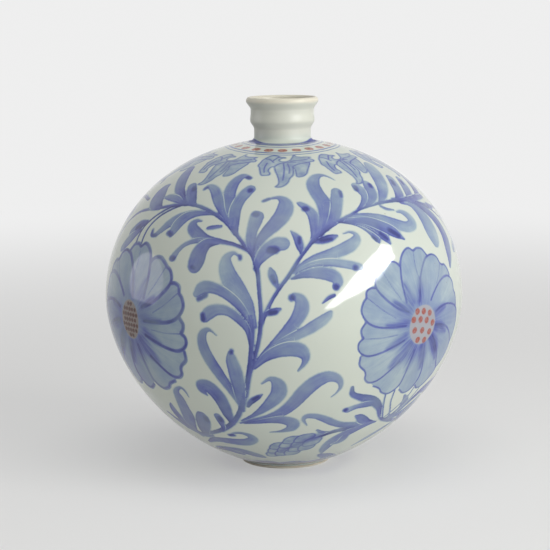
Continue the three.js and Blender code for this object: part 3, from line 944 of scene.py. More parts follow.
class Reading:
    """A value that a shader reads over the surface, with the sums that can be done on it."""

    def __init__(self, tree: Tree, socket: bpy.types.NodeSocket) -> None:
        """Holds a socket of a node tree."""
        self.tree = tree
        self.socket = socket

    def feed(self, target: bpy.types.NodeSocket) -> None:
        """Links the reading to a node's input."""
        self.tree.links.new(self.socket, target)

    def math(self, operation: str, *others: Reading | float, clamp: bool = False) -> Reading:
        """Does one sum.

        Args:
            operation: The Math node's name for the sum.
            others: What else goes into it.
            clamp: Whether the answer is kept between 0 and 1.

        Returns:
            The answer.
        """
        node = self.tree.nodes.new("ShaderNodeMath")
        node.operation = operation
        node.use_clamp = clamp
        for slot, value in enumerate((self, *others)):
            if isinstance(value, Reading):
                value.feed(node.inputs[slot])
            else:
                node.inputs[slot].default_value = value
        return Reading(self.tree, node.outputs[0])

    def __add__(self, other: Reading | float) -> Reading:
        """Adds."""
        return self.math("ADD", other)

    def __sub__(self, other: Reading | float) -> Reading:
        """Takes away."""
        return self.math("SUBTRACT", other)

    def __mul__(self, other: Reading | float) -> Reading:
        """Multiplies."""
        return self.math("MULTIPLY", other)

    def __truediv__(self, other: Reading | float) -> Reading:
        """Divides."""
        return self.math("DIVIDE", other)

    def size(self) -> Reading:
        """Drops the sign."""
        return self.math("ABSOLUTE")

    def kept(self) -> Reading:
        """Keeps the value between 0 and 1."""
        return self.math("ADD", 0.0, clamp=True)

    def rest(self) -> Reading:
        """Gives what is left of 1."""
        return (self * -1.0) + 1.0

    def ramp(self, start: float, stop: float) -> Reading:
        """Goes smoothly from 0 where the value is start to 1 where it is stop."""
        node = self.tree.nodes.new("ShaderNodeMapRange")
        node.interpolation_type = "SMOOTHSTEP"
        low, high = min(start, stop), max(start, stop)
        node.inputs["From Min"].default_value = low
        node.inputs["From Max"].default_value = high
        self.feed(node.inputs["Value"])
        risen = Reading(self.tree, node.outputs["Result"])
        return risen if start < stop else risen.rest()


def over(*densities: Reading) -> Reading:
    """Lays washes over each other, so that they darken as thin colour does."""
    bare = densities[0].rest()
    for density in densities[1:]:
        bare = bare * density.rest()
    return bare.rest().kept()


def object_mm(tree: Tree) -> Reading:
    """Gives the place on the piece in millimetres."""
    place = tree.nodes.new("ShaderNodeTexCoord")
    scale = tree.nodes.new("ShaderNodeVectorMath")
    scale.operation = "SCALE"
    scale.inputs["Scale"].default_value = 1 / MM
    tree.links.new(place.outputs["Object"], scale.inputs[0])
    return Reading(tree, scale.outputs[0])


def parts_of(vector: Reading) -> tuple[Reading, Reading, Reading]:
    """Splits a vector into its three numbers."""
    node = vector.tree.nodes.new("ShaderNodeSeparateXYZ")
    vector.feed(node.inputs[0])
    return tuple(Reading(vector.tree, socket) for socket in node.outputs)


def vector_of(tree: Tree, *values: Reading | float) -> Reading:
    """Joins three numbers into a vector."""
    node = tree.nodes.new("ShaderNodeCombineXYZ")
    for slot, value in enumerate(values):
        if isinstance(value, Reading):
            value.feed(node.inputs[slot])
        else:
            node.inputs[slot].default_value = value
    return Reading(tree, node.outputs[0])


def noise(place: Reading, grain: float, detail: float = 2.0, rough: float = 0.5) -> Reading:
    """Reads a cloudy noise.

    Args:
        place: Where it is read.
        grain: Size of its clouds, in the units of the place.
        detail: How many finer clouds are added.
        rough: How strong the finer clouds are.

    Returns:
        A value about 0.5.
    """
    node = place.tree.nodes.new("ShaderNodeTexNoise")
    node.inputs["Scale"].default_value = 1 / grain
    node.inputs["Detail"].default_value = detail
    node.inputs["Roughness"].default_value = rough
    place.feed(node.inputs["Vector"])
    return Reading(place.tree, node.outputs["Fac"])


def uneven(place: Reading, grain: float, depth: float, detail: float = 2.0, rough: float = 0.5) -> Reading:
    """Reads a cloudy noise about 0, as strong as its depth."""
    return (noise(place, grain, detail, rough) - 0.5) * depth


def attribute(tree: Tree, name: str) -> Reading:
    """Reads a vector attribute of the mesh."""
    node = tree.nodes.new("ShaderNodeAttribute")
    node.attribute_name = name
    return Reading(tree, node.outputs["Vector"])


def linear(red: float, green: float, blue: float) -> tuple[float, float, float, float]:
    """Turns a colour given as 0 to 255 on a screen into light, as the sRGB standard says."""
    knee, slope, lift, power = 0.04045, 12.92, 0.055, 2.4
    shares = (channel / 255 for channel in (red, green, blue))
    light = (s / slope if s <= knee else ((s + lift) / (1 + lift)) ** power for s in shares)
    return (*light, 1.0)


class Sockets(Enum):
    """The kinds of socket that an effect has."""

    VALUE = "NodeSocketFloat"
    VECTOR = "NodeSocketVector"
    COLOUR = "NodeSocketColor"


class Effect:
    """A shader effect that several materials use, kept as a node group."""

    name = ""
    takes: dict[str, Sockets] = {}
    gives: dict[str, Sockets] = {}

    @classmethod
    def group(cls) -> Tree:
        """Gives the effect's group, built the first time."""
        made = bpy.data.node_groups.get(cls.name)
        if made is None:
            made = bpy.data.node_groups.new(cls.name, "ShaderNodeTree")
            for title, kind in cls.takes.items():
                made.interface.new_socket(name=title, in_out="INPUT", socket_type=kind.value)
            for title, kind in cls.gives.items():
                made.interface.new_socket(name=title, in_out="OUTPUT", socket_type=kind.value)
            start, end = made.nodes.new("NodeGroupInput"), made.nodes.new("NodeGroupOutput")
            taken = {title: Reading(made, start.outputs[title]) for title in cls.takes}
            for title, reading in cls.build(made, taken).items():
                reading.feed(end.inputs[title])
        return made

    @classmethod
    def build(cls, tree: Tree, taken: dict[str, Reading]) -> dict[str, Reading]:
        """Builds the group's inside and gives its outputs."""
        raise NotImplementedError

    @classmethod
    def use(cls, tree: Tree, **given: Reading | float) -> dict[str, Reading]:
        """Places the effect in a material.

        Args:
            tree: The material's nodes.
            given: What goes into each input, by its name in lower case.

        Returns:
            The outputs by name.
        """
        node = tree.nodes.new("ShaderNodeGroup")
        node.node_tree = cls.group()
        for title in cls.takes:
            value = given[title.lower()]
            if isinstance(value, Reading):
                value.feed(node.inputs[title])
            else:
                node.inputs[title].default_value = value
        return {title: Reading(tree, node.outputs[title]) for title in cls.gives}


class BrushedWash(Effect):
    """Thin cobalt laid by a loaded brush: streaked along the stroke, darker at its inner edge."""

    name = "brushed_wash"
    takes = {"Stroke": Sockets.VECTOR, "Brush": Sockets.VECTOR}
    gives = {"Density": Sockets.VALUE}
    ragged = 0.45  # mm that the edge strays
    ragged_grain = 1.8
    soft_edge = 0.8  # mm over which the inner edge thins out
    softer = 0.9  # mm more at the outer edge
    thinning = (0.4, -0.6)  # from bare to full, in breadths of the soft edge
    rim = (-1.2, -0.2)  # mm from the edge, over which the inner edge darkens
    rim_tone = 0.14
    bristle_ways = (2.2, 0.045, 9.0)  # how fast the streaks change over the side, the run and the strength
    bristle_grain = 0.7
    bristle_tone = 0.16
    slope = 0.07  # how much paler the outer side is
    cloud_grain = 9.0
    cloud_tone = 0.4
    seam = (0.42, 0.1)  # mm from the middle of the pale seam between strokes, over which it clears
    seam_ragged = 0.15
    seam_grain = 2.4
    seam_share = 0.7

    @classmethod
    def build(cls, tree: Tree, taken: dict[str, Reading]) -> dict[str, Reading]:
        """Builds the wash from a stroke's distance, strength and side."""
        distance, strength, side = parts_of(taken["Stroke"])
        run, seam, fade = parts_of(taken["Brush"])
        place = object_mm(tree)
        edge = distance + uneven(place, cls.ragged_grain, cls.ragged)
        inside = (edge / (side.kept() * cls.softer + cls.soft_edge)).ramp(*cls.thinning)
        rim = edge.ramp(*cls.rim) * (side * -0.5 + 0.5).kept() * cls.rim_tone
        ways = (reading * pace for reading, pace in zip((side, run, strength), cls.bristle_ways))
        bristles = uneven(vector_of(tree, *ways), cls.bristle_grain, cls.bristle_tone)
        cloud = uneven(place, cls.cloud_grain, cls.cloud_tone, detail=3.0)
        tone = strength + rim - side * cls.slope + bristles + cloud
        clear = (seam.size() + uneven(place, cls.seam_grain, cls.seam_ragged)).ramp(*cls.seam)
        return {"Density": inside * tone.kept() * (clear * fade * cls.seam_share).rest()}


class Cobalt(Effect):
    """The colour of the glaze over cobalt of any density, from bare to the darkest drop."""

    name = "cobalt"
    takes = {"Density": Sockets.VALUE}
    gives = {"Colour": Sockets.COLOUR}
    stops = (
        (0.00, (200, 207, 197)),
        (0.20, (172, 187, 189)),
        (0.40, (139, 158, 178)),
        (0.55, (116, 133, 171)),
        (0.70, (93, 105, 167)),
        (0.85, (70, 79, 148)),
        (1.00, (48, 53, 112)),
    )

    @classmethod
    def build(cls, tree: Tree, taken: dict[str, Reading]) -> dict[str, Reading]:
        """Builds the range of blues."""
        node = tree.nodes.new("ShaderNodeValToRGB")
        elements = node.color_ramp.elements
        while len(elements) < len(cls.stops):
            elements.new(0.5)
        for element, (place, colour) in zip(elements, cls.stops):
            element.position = place
            element.color = linear(*colour)
        taken["Density"].feed(node.inputs["Fac"])
        return {"Colour": Reading(tree, node.outputs["Color"])}


class GlazeSkin(Effect):
    """The fired surface of the glaze: faint throwing rings, a soft peel and a few pinholes."""

    name = "glaze_skin"
    gives = {title: Sockets.VALUE for title in ("Roughness", "Height", "Cloud", "Speck")}
    peel_grain = 3.2
    peel = 0.5
    ring_grain = 5.5  # mm of height between two throwing rings
    rings = 1.6
    cell = 6.5  # mm between two spots where a pinhole or a speck may be
    pinhole_edge = (0.07, 0.03)  # cells from its middle
    pinhole_chance = (0.82, 0.84)  # of a cell's lot from 0 to 1, from where it has a pinhole
    pinhole_depth = 0.9
    speck_edge = (0.06, 0.035)
    speck_chance = (0.075, 0.06)  # under which it has a speck
    cloud_grain = 34.0
    worn_grain = 14.0
    roughness = 0.03
    worn = 0.09  # more roughness where the glaze is worn
    pinhole_roughness = 0.3

    @classmethod
    def build(cls, tree: Tree, taken: dict[str, Reading]) -> dict[str, Reading]:
        """Builds the surface's height, its gloss, its uneven thickness and its specks."""
        place = object_mm(tree)
        height = parts_of(place)[2]
        peel = noise(place, cls.peel_grain)
        rings = noise(vector_of(tree, 0.0, 0.0, height), cls.ring_grain, detail=1.0)
        cells = tree.nodes.new("ShaderNodeTexVoronoi")
        cells.inputs["Scale"].default_value = 1 / cls.cell
        place.feed(cells.inputs["Vector"])
        near = Reading(tree, cells.outputs["Distance"])
        chance = parts_of(Reading(tree, cells.outputs["Color"]))[0]
        pinhole = near.ramp(*cls.pinhole_edge) * chance.ramp(*cls.pinhole_chance)
        worn = noise(place, cls.worn_grain, detail=4.0)
        return {
            "Roughness": worn * cls.worn + cls.roughness + pinhole * cls.pinhole_roughness,
            "Height": peel * cls.peel + rings * cls.rings - pinhole * cls.pinhole_depth,
            "Cloud": noise(place, cls.cloud_grain, detail=3.0),
            "Speck": near.ramp(*cls.speck_edge) * chance.ramp(*cls.speck_chance),
        }


class NeckBands(Effect):
    """The blue rings brushed round the neck by hand, drawn out a little to the front."""

    name = "neck_bands"
    gives = {"Density": Sockets.VALUE}
    # Radius, half of the breadth and strength
    bands = ((17.4, 2.0, 0.86), (21.5, 0.4, 0.76), (28.8, 0.5, 0.68), (30.9, 0.4, 0.54))
    soft_edge = (0.28, -0.22)  # mm past the edge of a ring, over which it begins
    wander = 0.6  # mm that a ring strays
    wander_grain = 7.0
    load_grain = 4.0
    load = (0.75, 0.5)  # the least share of a ring's strength, and how much more the brush may hold
    above = (150.0, 151.0)  # mm over the table, from where rings are drawn
    below = (178.0, 177.5)  # mm over the table, up to where they are drawn

    @classmethod
    def build(cls, tree: Tree, taken: dict[str, Reading]) -> dict[str, Reading]:
        """Builds the rings from the distance to the vase's axis."""
        place = object_mm(tree)
        right, back, height = parts_of(place)
        ahead = back.math("MINIMUM", 0.0) / RING_STRETCH + back.math("MAXIMUM", 0.0)
        radius = (right * right + ahead * ahead).math("SQRT") + uneven(place, cls.wander_grain, cls.wander)
        least, more = cls.load
        brushed = noise(place, cls.load_grain, detail=3.0) * more + least
        on_shoulder = height.ramp(*cls.above) * height.ramp(*cls.below)
        start, stop = cls.soft_edge
        painted = [
            (radius - middle).size().ramp(half + start, half + stop) * (brushed * strength)
            for middle, half, strength in cls.bands
        ]
        return {"Density": over(*painted) * on_shoulder}


def mixed(share: Reading, colour: Reading, other: Reading | tuple[float, ...]) -> Reading:
    """Mixes a share of another colour into a colour."""
    node = share.tree.nodes.new("ShaderNodeMix")
    node.data_type = "RGBA"
    share.feed(node.inputs["Factor"])
    colour.feed(node.inputs[6])
    if isinstance(other, Reading):
        other.feed(node.inputs[7])
    else:
        node.inputs[7].default_value = other
    return Reading(share.tree, node.outputs[2])


@dataclass(frozen=True)
class Finish:
    """What every finish of the vase has."""

    name: str
    ripple: float  # depth of the surface's bump, in metres
    mirroring: float = 0.5
    refraction: float = 1.5

    def material(self) -> tuple[bpy.types.Material, bpy.types.Node]:
        """Starts a material and gives it with its shader."""
        made = bpy.data.materials.new(self.name)
        made.use_nodes = True
        return made, made.node_tree.nodes["Principled BSDF"]

    def coat(self, shader: bpy.types.Node, colour: Reading, roughness: Reading, height: Reading) -> None:
        """Gives the shader its colour, gloss and bumps.

        Args:
            shader: The material's shader.
            colour: The colour of the surface.
            roughness: How dull it is.
            height: How high it stands, as a share of the ripple.
        """
        colour.feed(shader.inputs["Base Color"])
        roughness.feed(shader.inputs["Roughness"])
        shader.inputs["Specular IOR Level"].default_value = self.mirroring
        shader.inputs["IOR"].default_value = self.refraction
        bump = colour.tree.nodes.new("ShaderNodeBump")
        bump.inputs["Distance"].default_value = self.ripple
        height.feed(bump.inputs["Height"])
        Reading(colour.tree, bump.outputs["Normal"]).feed(shader.inputs["Normal"])


@dataclass(frozen=True)
class GlazeFinish(Finish):
    """What the glazes have in common: a clear glassy coat that fires slightly uneven."""

    ripple: float = 0.022 * MM
    dullness: float = 0.0  # more roughness than the globe's glaze
    warm: Colour = (212, 210, 196)
    warm_clouds: Span = (0.45, 0.85)
    warm_share: float = 0.12
    speck: Colour = (122, 96, 74)
    speck_share: float = 0.6

    def glaze(self, shader: bpy.types.Node, colour: Reading) -> None:
        """Covers a painted colour with glaze."""
        skin = GlazeSkin.use(colour.tree)
        warmed = mixed(skin["Cloud"].ramp(*self.warm_clouds) * self.warm_share, colour, linear(*self.warm))
        specked = mixed(skin["Speck"] * self.speck_share, warmed, linear(*self.speck))
        self.coat(shader, specked, skin["Roughness"] + self.dullness, skin["Height"])


@dataclass(frozen=True)
class PaintedGlaze(GlazeFinish):
    """Clear glaze over the brushed scroll, with touches of iron red.

    A tone is the cobalt's density where the brush is evenly loaded, and a patchiness is how much it
    changes with the brush's load. An edge gives where a mark begins and where it is full, in
    millimetres outside its line.
    """

    name: str = "painted_glaze"
    grey_blue: Colour = (122, 143, 160)
    greyness: float = 0.55
    grey_grain: float = 17.0
    grey_clouds: Span = (0.42, 0.68)
    load_grain: float = 7.0
    ragged: float = 0.5  # mm that a mark's edge strays
    ragged_grain: float = 1.6
    eye_tone: float = 0.84
    eye_ragged: float = 1.4
    eye_edge: Span = (1.1, -0.8)
    line_tone: float = 0.66
    line_patchiness: float = 0.9
    line_edge: Span = (0.95, 0.15)
    line_ragged: float = 0.5
    line_swelling: float = 0.7  # mm that a line grows with the brush's load
    fine_edge: Span = (0.9, 0.3)  # mm outside a pale shape, over which its outline grows finer
    fineness: float = 0.16
    line_core: Span = (0.0, -0.3)
    core_tone: float = 0.16
    pale_tone: float = 0.37
    pale_patchiness: float = 0.8
    pale_ragged: float = 0.4
    pale_edge: Span = (0.25, -0.2)
    disc_edge: Span = (0.6, -0.4)
    disc_tone: float = 0.3
    disc_blush: float = 0.24
    iron_red: Colour = (152, 76, 64)
    iron_tone: float = 0.86
    iron_patchiness: float = 0.9
    iron_grain: float = 1.2
    iron_edge: Span = (0.35, -0.35)
    # Painted shade: the dark brown of the red seeds on the vase's left side
    shaded_iron_red: Colour = (50, 33, 31)
    shaded_across: Span = (-40.0, -70.0)  # mm across, over which the red and the disc are darkened to brown as painted shade on the left side
    # Painted shade: the tan of the disc on the vase's left side
    shaded_disc_tan: Colour = (122, 104, 86)
    shaded_disc_share: float = 0.6
    petal_tone: float = 0.38
    petal_edge: Span = (0.3, -0.25)
    petal_streaks: float = 0.2
    petal_clouds: float = 0.2
    petal_patchiness: float = 0.42
    petal_root: Span = (26.0, 9.0)  # mm from the disc's middle, over which the petals darken
    root_tone: float = 0.16
    heavier_and_shaded: Span = (-30.0, 25.0)  # mm down and to the left, over which the petals darken: part denser cobalt, part painted shade
    heavier_and_shaded_tone: float = 0.1
    streak_ways: tuple[float, float] = (9.0, 0.03)  # how fast the streaks change around and outwards
    streak_grain: float = 0.55
    load_ways: tuple[float, float] = (1.7, 0.012)  # the same for the brush's load
    touch_tone: float = 0.58
    touch_edge: Span = (2.4, -1.8)
    touch_streaks: float = 1.3
    touch_patchiness: float = 0.9

    def make(self) -> bpy.types.Material:
        """Builds the material of the globe.

        Returns:
            The material, which reads the painting's attributes.
        """
        made, shader = self.material()
        tree = made.node_tree
        place = object_mm(tree)
        _, _, dot = parts_of(attribute(tree, "marks"))
        _, disc, _ = parts_of(attribute(tree, "shapes"))
        ragged = uneven(place, self.ragged_grain, self.ragged)
        scroll = self.scroll(tree, place, ragged)
        on_disc = (disc + ragged).ramp(*self.disc_edge)
        density = scroll * on_disc.rest() + on_disc * self.disc_tone
        blue = Cobalt.use(tree, density=density)["Colour"]
        greyed = noise(place, self.grey_grain).ramp(*self.grey_clouds) * scroll * self.greyness
        toned = mixed(greyed, blue, linear(*self.grey_blue))
        blushed = mixed(on_disc * self.disc_blush, toned, linear(*self.iron_red))
        # Painted shade: towards the left, the disc darkens to tan and the red seeds to brown
        left_painted_shade = parts_of(place)[0].ramp(*self.shaded_across)
        warmed = mixed(on_disc * left_painted_shade * self.shaded_disc_share, blushed, linear(*self.shaded_disc_tan))
        load = (uneven(place, self.iron_grain, self.iron_patchiness) + self.iron_tone).kept()
        reds = (dot + ragged).ramp(*self.iron_edge) * load
        seeded = mixed(reds, warmed, linear(*self.iron_red))
        self.glaze(shader, mixed(reds * left_painted_shade, seeded, linear(*self.shaded_iron_red)))
        return made

    def scroll(self, tree: Tree, place: Reading, ragged: Reading) -> Reading:
        """Lays all the blue marks over each other.

        Args:
            tree: The material's nodes.
            place: The place on the piece in millimetres.
            ragged: How far the marks' edges stray, in millimetres.

        Returns:
            The density of the cobalt.
        """
        wash = BrushedWash.use(tree, stroke=attribute(tree, "wash"), brush=attribute(tree, "brush"))
        eye, line, _ = parts_of(attribute(tree, "marks"))
        pale, _, shade = parts_of(attribute(tree, "shapes"))
        load = uneven(place, self.load_grain, 1.0, detail=3.0)
        eyes = (eye + ragged * self.eye_ragged).ramp(*self.eye_edge) * self.eye_tone
        finer = pale.ramp(*self.fine_edge) * self.fineness
        stray = ragged * self.line_ragged + load * self.line_swelling
        drawn = (line + stray + finer).ramp(*self.line_edge)
        drawn = drawn * (load * self.line_patchiness + self.line_tone).kept()
        lines = drawn + line.ramp(*self.line_core) * self.core_tone
        pales = (pale + ragged * self.pale_ragged).ramp(*self.pale_edge)
        pales = pales * (load * self.pale_patchiness + self.pale_tone)
        petals = self.petals(tree, shade, load)
        return over(wash["Density"], eyes, lines, pales, petals, NeckBands.use(tree)["Density"])

    def petals(self, tree: Tree, shade: Reading, clouds: Reading) -> Reading:
        """Lays the flowers' wash, which is streaked outwards, darkens to its root, and darkens down and to
        the left, partly as painted shade.

        Args:
            tree: The material's nodes.
            shade: Distance to the dark touches at the petals' roots.
            clouds: The wash's unevenness.

        Returns:
            The density of the cobalt.
        """
        right, above, beyond = parts_of(attribute(tree, "flower"))
        radius = (right * right + above * above).math("SQRT") + NEAR_ZERO
        spokes, sectors = (
            vector_of(tree, right / radius * around, above / radius * around, radius * out)
            for around, out in (self.streak_ways, self.load_ways)
        )
        streaks = uneven(spokes, self.streak_grain, 1.0, detail=4.0, rough=0.6)
        load = uneven(sectors, 1.0, 1.0, detail=1.0)
        root = radius.ramp(*self.petal_root) * self.root_tone
        aside, _, height = parts_of(object_mm(tree))
        # Darker down and to the left: part denser cobalt, part painted shade on the side away from the light
        heavier_and_shaded = ((aside + height) * -1.0).ramp(*self.heavier_and_shaded) * self.heavier_and_shaded_tone
        patches = streaks * self.petal_streaks + clouds * self.petal_clouds + load * self.petal_patchiness
        wash = beyond.ramp(*self.petal_edge) * (patches + root + heavier_and_shaded + self.petal_tone).kept()
        brushed = (streaks * self.touch_streaks + load * self.touch_patchiness + self.touch_tone).kept()
        return over(wash, shade.ramp(*self.touch_edge) * brushed)


@dataclass(frozen=True)
class PlainGlaze(GlazeFinish):
    """The pale green-white glaze of the neck, thin and creamy at the lip."""

    name: str = "plain_glaze"
    dullness: float = 0.3
    mirroring: float = 0.22
    cream: Colour = (216, 214, 203)
    cream_heights: Span = (178.0, 182.0)
    cream_share: float = 0.5
    lip: Colour = (222, 215, 196)
    lip_heights: Span = (196.5, 198.5)
    lip_share: float = 0.7

    def make(self) -> bpy.types.Material:
        """Builds the material of the neck."""
        made, shader = self.material()
        tree = made.node_tree
        height = parts_of(object_mm(tree))[2]
        painted = Cobalt.use(tree, density=NeckBands.use(tree)["Density"])["Colour"]
        creamy = mixed(height.ramp(*self.cream_heights) * self.cream_share, painted, linear(*self.cream))
        thin = height.ramp(*self.lip_heights) * self.lip_share
        self.glaze(shader, mixed(thin, creamy, linear(*self.lip)))
        return made


@dataclass(frozen=True)
class FootFinish(Finish):
    """Glaze that stops short of the table in a ragged line, and bare gritty porcelain under it."""

    name: str = "bare_porcelain"
    ripple: float = 0.09 * MM
    clay: Colour = (206, 200, 186)
    clay_roughness: float = 0.82
    grit: Colour = (150, 138, 120)
    grit_grain: float = 0.35
    grit_clouds: Span = (0.6, 0.75)
    grit_share: float = 0.5
    glaze_height: float = 1.5
    glaze_ragged: float = 2.2  # mm that the glaze's edge strays
    glaze_grain: float = 3.0
    glaze_edge: Span = (-0.1, 0.1)
    glaze_radii: Span = (22.6, 22.9)  # mm from the axis, inside which the ring is wiped clean
    glaze_tone: float = 0.05
    glaze_level: float = 1.2  # how high the glaze stands on the grit
    scorched: Colour = (192, 170, 142)
    scorch_edge: Span = (0.7, 0.0)  # mm from the glaze's edge
    scorch_share: float = 0.6

    def make(self) -> bpy.types.Material:
        """Builds the material of the foot ring."""
        made, shader = self.material()
        tree = made.node_tree
        place = object_mm(tree)
        right, back, height = parts_of(place)
        radius = (right * right + back * back).math("SQRT")
        line = height - uneven(place, self.glaze_grain, self.glaze_ragged, detail=3.0) - self.glaze_height
        glazed = line.ramp(*self.glaze_edge) * radius.ramp(*self.glaze_radii)
        grains = noise(place, self.grit_grain, detail=3.0, rough=0.7)
        gritty = grains.ramp(*self.grit_clouds) * self.grit_share
        clay = mixed(gritty, self.plain(tree, self.clay), linear(*self.grit))
        edged = mixed(line.size().ramp(*self.scorch_edge) * self.scorch_share, clay, linear(*self.scorched))
        glaze = Cobalt.use(tree, density=glazed * self.glaze_tone)["Colour"]
        gloss = glazed.rest() * self.clay_roughness + glazed * GlazeSkin.use(tree)["Roughness"]
        level = glazed.rest() * grains + glazed * self.glaze_level
        self.coat(shader, mixed(glazed, edged, glaze), gloss, level)
        return made

    @staticmethod
    def plain(tree: Tree, colour: Colour) -> Reading:
        """Gives one colour as a reading."""
        node = tree.nodes.new("ShaderNodeRGB")
        node.outputs[0].default_value = linear(*colour)
        return Reading(tree, node.outputs[0])


def turned(name: str, section: list[Place], steps: int) -> bpy.types.Object:
    """Turns a section about the upright axis, as a potter's wheel does.

    Args:
        name: Name of the piece.
        section: Radii and heights in millimetres. It is a closed loop, or runs from the axis to the axis.
        steps: Number of steps in a full turn.

    Returns:
        The piece, with its seam and poles closed and its faces outwards.
    """
    bpy.ops.object.select_all(action="DESELECT")
    radius, height = section[0]
    bpy.ops.mesh.primitive_plane_add(size=MM, location=(radius * MM, 0, height * MM))
    piece = bpy.context.object
    piece.name = name
    piece.data.name = name
    bpy.ops.object.transform_apply(location=True, rotation=True, scale=True)
    bpy.ops.object.mode_set(mode="EDIT")
    bpy.ops.mesh.select_mode(type="VERT")
    bpy.ops.mesh.select_all(action="SELECT")
    bpy.ops.mesh.merge(type="CENTER")
    on_axis = section[0][0] == 0 and section[-1][0] == 0
    path = section if on_axis else [*section, section[0]]
    for start, stop in zip(path[:-1], path[1:]):
        move = ((stop[0] - start[0]) * MM, 0, (stop[1] - start[1]) * MM)
        bpy.ops.mesh.extrude_region_move(TRANSFORM_OT_translate={"value": move})
    bpy.ops.mesh.select_all(action="SELECT")
    bpy.ops.mesh.remove_doubles(threshold=WELD)
    bpy.ops.object.mode_set(mode="OBJECT")
    wheel = piece.modifiers.new("wheel", "SCREW")
    wheel.steps = wheel.render_steps = steps
    wheel.use_merge_vertices = True
    wheel.merge_threshold = WELD
    bpy.ops.object.modifier_apply(modifier=wheel.name)
    bpy.ops.object.mode_set(mode="EDIT")
    bpy.ops.mesh.select_all(action="SELECT")
    bpy.ops.mesh.remove_doubles(threshold=WELD)
    bpy.ops.mesh.normals_make_consistent(inside=False)
    bpy.ops.object.mode_set(mode="OBJECT")
    bpy.ops.object.shade_smooth_by_angle(angle=SMOOTH_ANGLE)
    return piece


def places_of(radii: np.ndarray, heights: np.ndarray) -> list[Place]:
    """Pairs radii with heights."""
    return list(zip(radii.tolist(), heights.tolist()))


def eased(start: Place, stop: Place, steps: int) -> list[Place]:
    """Draws an S-shaped swell, level with the axis at both ends."""
    shares = np.linspace(0, 1, steps + 1)
    radii = start[0] + (stop[0] - start[0]) * (1 - np.cos(np.pi * shares)) / 2
    return places_of(radii, start[1] + (stop[1] - start[1]) * shares)


def arc(middle: Place, radii: Place, start: float, stop: float, steps: int) -> list[Place]:
    """Draws part of an ellipse.

    Args:
        middle: Its middle, as radius and height.
        radii: Its half axes.
        start: Direction of its first point, in degrees up from outwards.
        stop: Direction of its last point.
        steps: Number of steps.

    Returns:
        The points.
    """
    angles = np.radians(np.linspace(start, stop, steps + 1))
    return places_of(middle[0] + radii[0] * np.cos(angles), middle[1] + radii[1] * np.sin(angles))


@dataclass
class Piece:
    """What every turned piece of the vase has."""

    name: str
    node: str
    slot: str
    steps: int

    def section(self) -> list[Place]:
        """Gives the piece's section."""
        raise NotImplementedError

    def build(self, finish: bpy.types.Material) -> bpy.types.Object:
        """Turns the piece and gives it its finish and its place in the frame."""
        piece = turned(self.name, self.section(), self.steps)
        piece.data.materials.clear()
        piece.data.materials.append(finish)
        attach(piece, "root")
        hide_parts(self.node)
        log.info("%s: %d faces, replaces %s", self.name, len(piece.data.polygons), self.node)
        return piece


@dataclass
class GlobeBand(Piece):
    """One band of the globe's wall between two levels, painted outside."""

    outside: WallLine
    inside: WallLine
    low: float
    high: float
    pitch: float = 0.62  # mm from one row of faces to the next outside
    inside_steps: int = 14

    def outer_line(self) -> list[Place]:
        """Gives the outside of the band, from its lower edge to its upper one."""
        low, high = self.outside.up_of(self.low), self.outside.up_of(self.high)
        rows = round((high - low) / self.pitch)
        return places_of(*self.outside.section(np.linspace(low, high, rows + 1)))

    def inner_line(self) -> list[Place]:
        """Gives the inside of the band, from its upper edge to its lower one."""
        high = self.inside.up_of(min(self.high, self.inside.top_height))
        low = self.inside.up_of(max(self.low, self.inside.foot_height))
        return places_of(*self.inside.section(np.linspace(high, low, self.inside_steps + 1)))

    def section(self) -> list[Place]:
        """Gives the band's section, closed by its flat joints."""
        return [*self.outer_line(), *self.inner_line()]

    def paint(self, piece: bpy.types.Object, painting: Painting) -> None:
        """Writes the painting on the glazed side of the band."""
        places = vertices_of(piece)
        radius = np.hypot(places[:, 0], places[:, 1])
        outside = np.abs(radius - self.outside.radius_at(places[:, 2])) < GLAZED_WITHIN
        painted = painting.cover(places[outside])
        bare = Canvas(self.outside, np.zeros((1, 3))).attributes()
        for name, values in painted.items():
            rows = np.repeat(bare[name], len(places), axis=0)
            rows[outside] = values
            made = piece.data.attributes.new(name, "FLOAT_VECTOR", "POINT")
            made.data.foreach_set("vector", rows.astype(np.float32).ravel())


@dataclass
class Shoulder(GlobeBand):
    """The top of the globe, with the flat seat that the neck is luted on."""

    bore: float = 12.4

    def section(self) -> list[Place]:
        """Gives the shoulder's section, with the seat at its top."""
        return [*self.outer_line(), (self.bore, self.high), *self.inner_line()]


@dataclass
class Belly(GlobeBand):
    """The bottom of the globe, with the hollow turned out under it."""

    recess_radius: float = 20.0
    recess_height: float = 4.4
    hollow: float = 0.8  # radius of the corner in the hollow
    hollow_steps: int = 5
    floor_ring: float = 10.0  # radius of a ring of points that both floors have

    def section(self) -> list[Place]:
        """Gives the belly's section, from the axis under it to the axis inside."""
        corner = (self.recess_radius - self.hollow, self.recess_height - self.hollow)
        inner = self.inner_line()
        floor_height = inner[-1][1]
        return [
            (0.0, self.recess_height),
            (self.floor_ring, self.recess_height),
            *arc(corner, (self.hollow, self.hollow), 90, 0, self.hollow_steps),
            (self.recess_radius, self.low),
            *self.outer_line(),
            *inner,
            (self.floor_ring, floor_height),
            (0.0, floor_height),
        ]


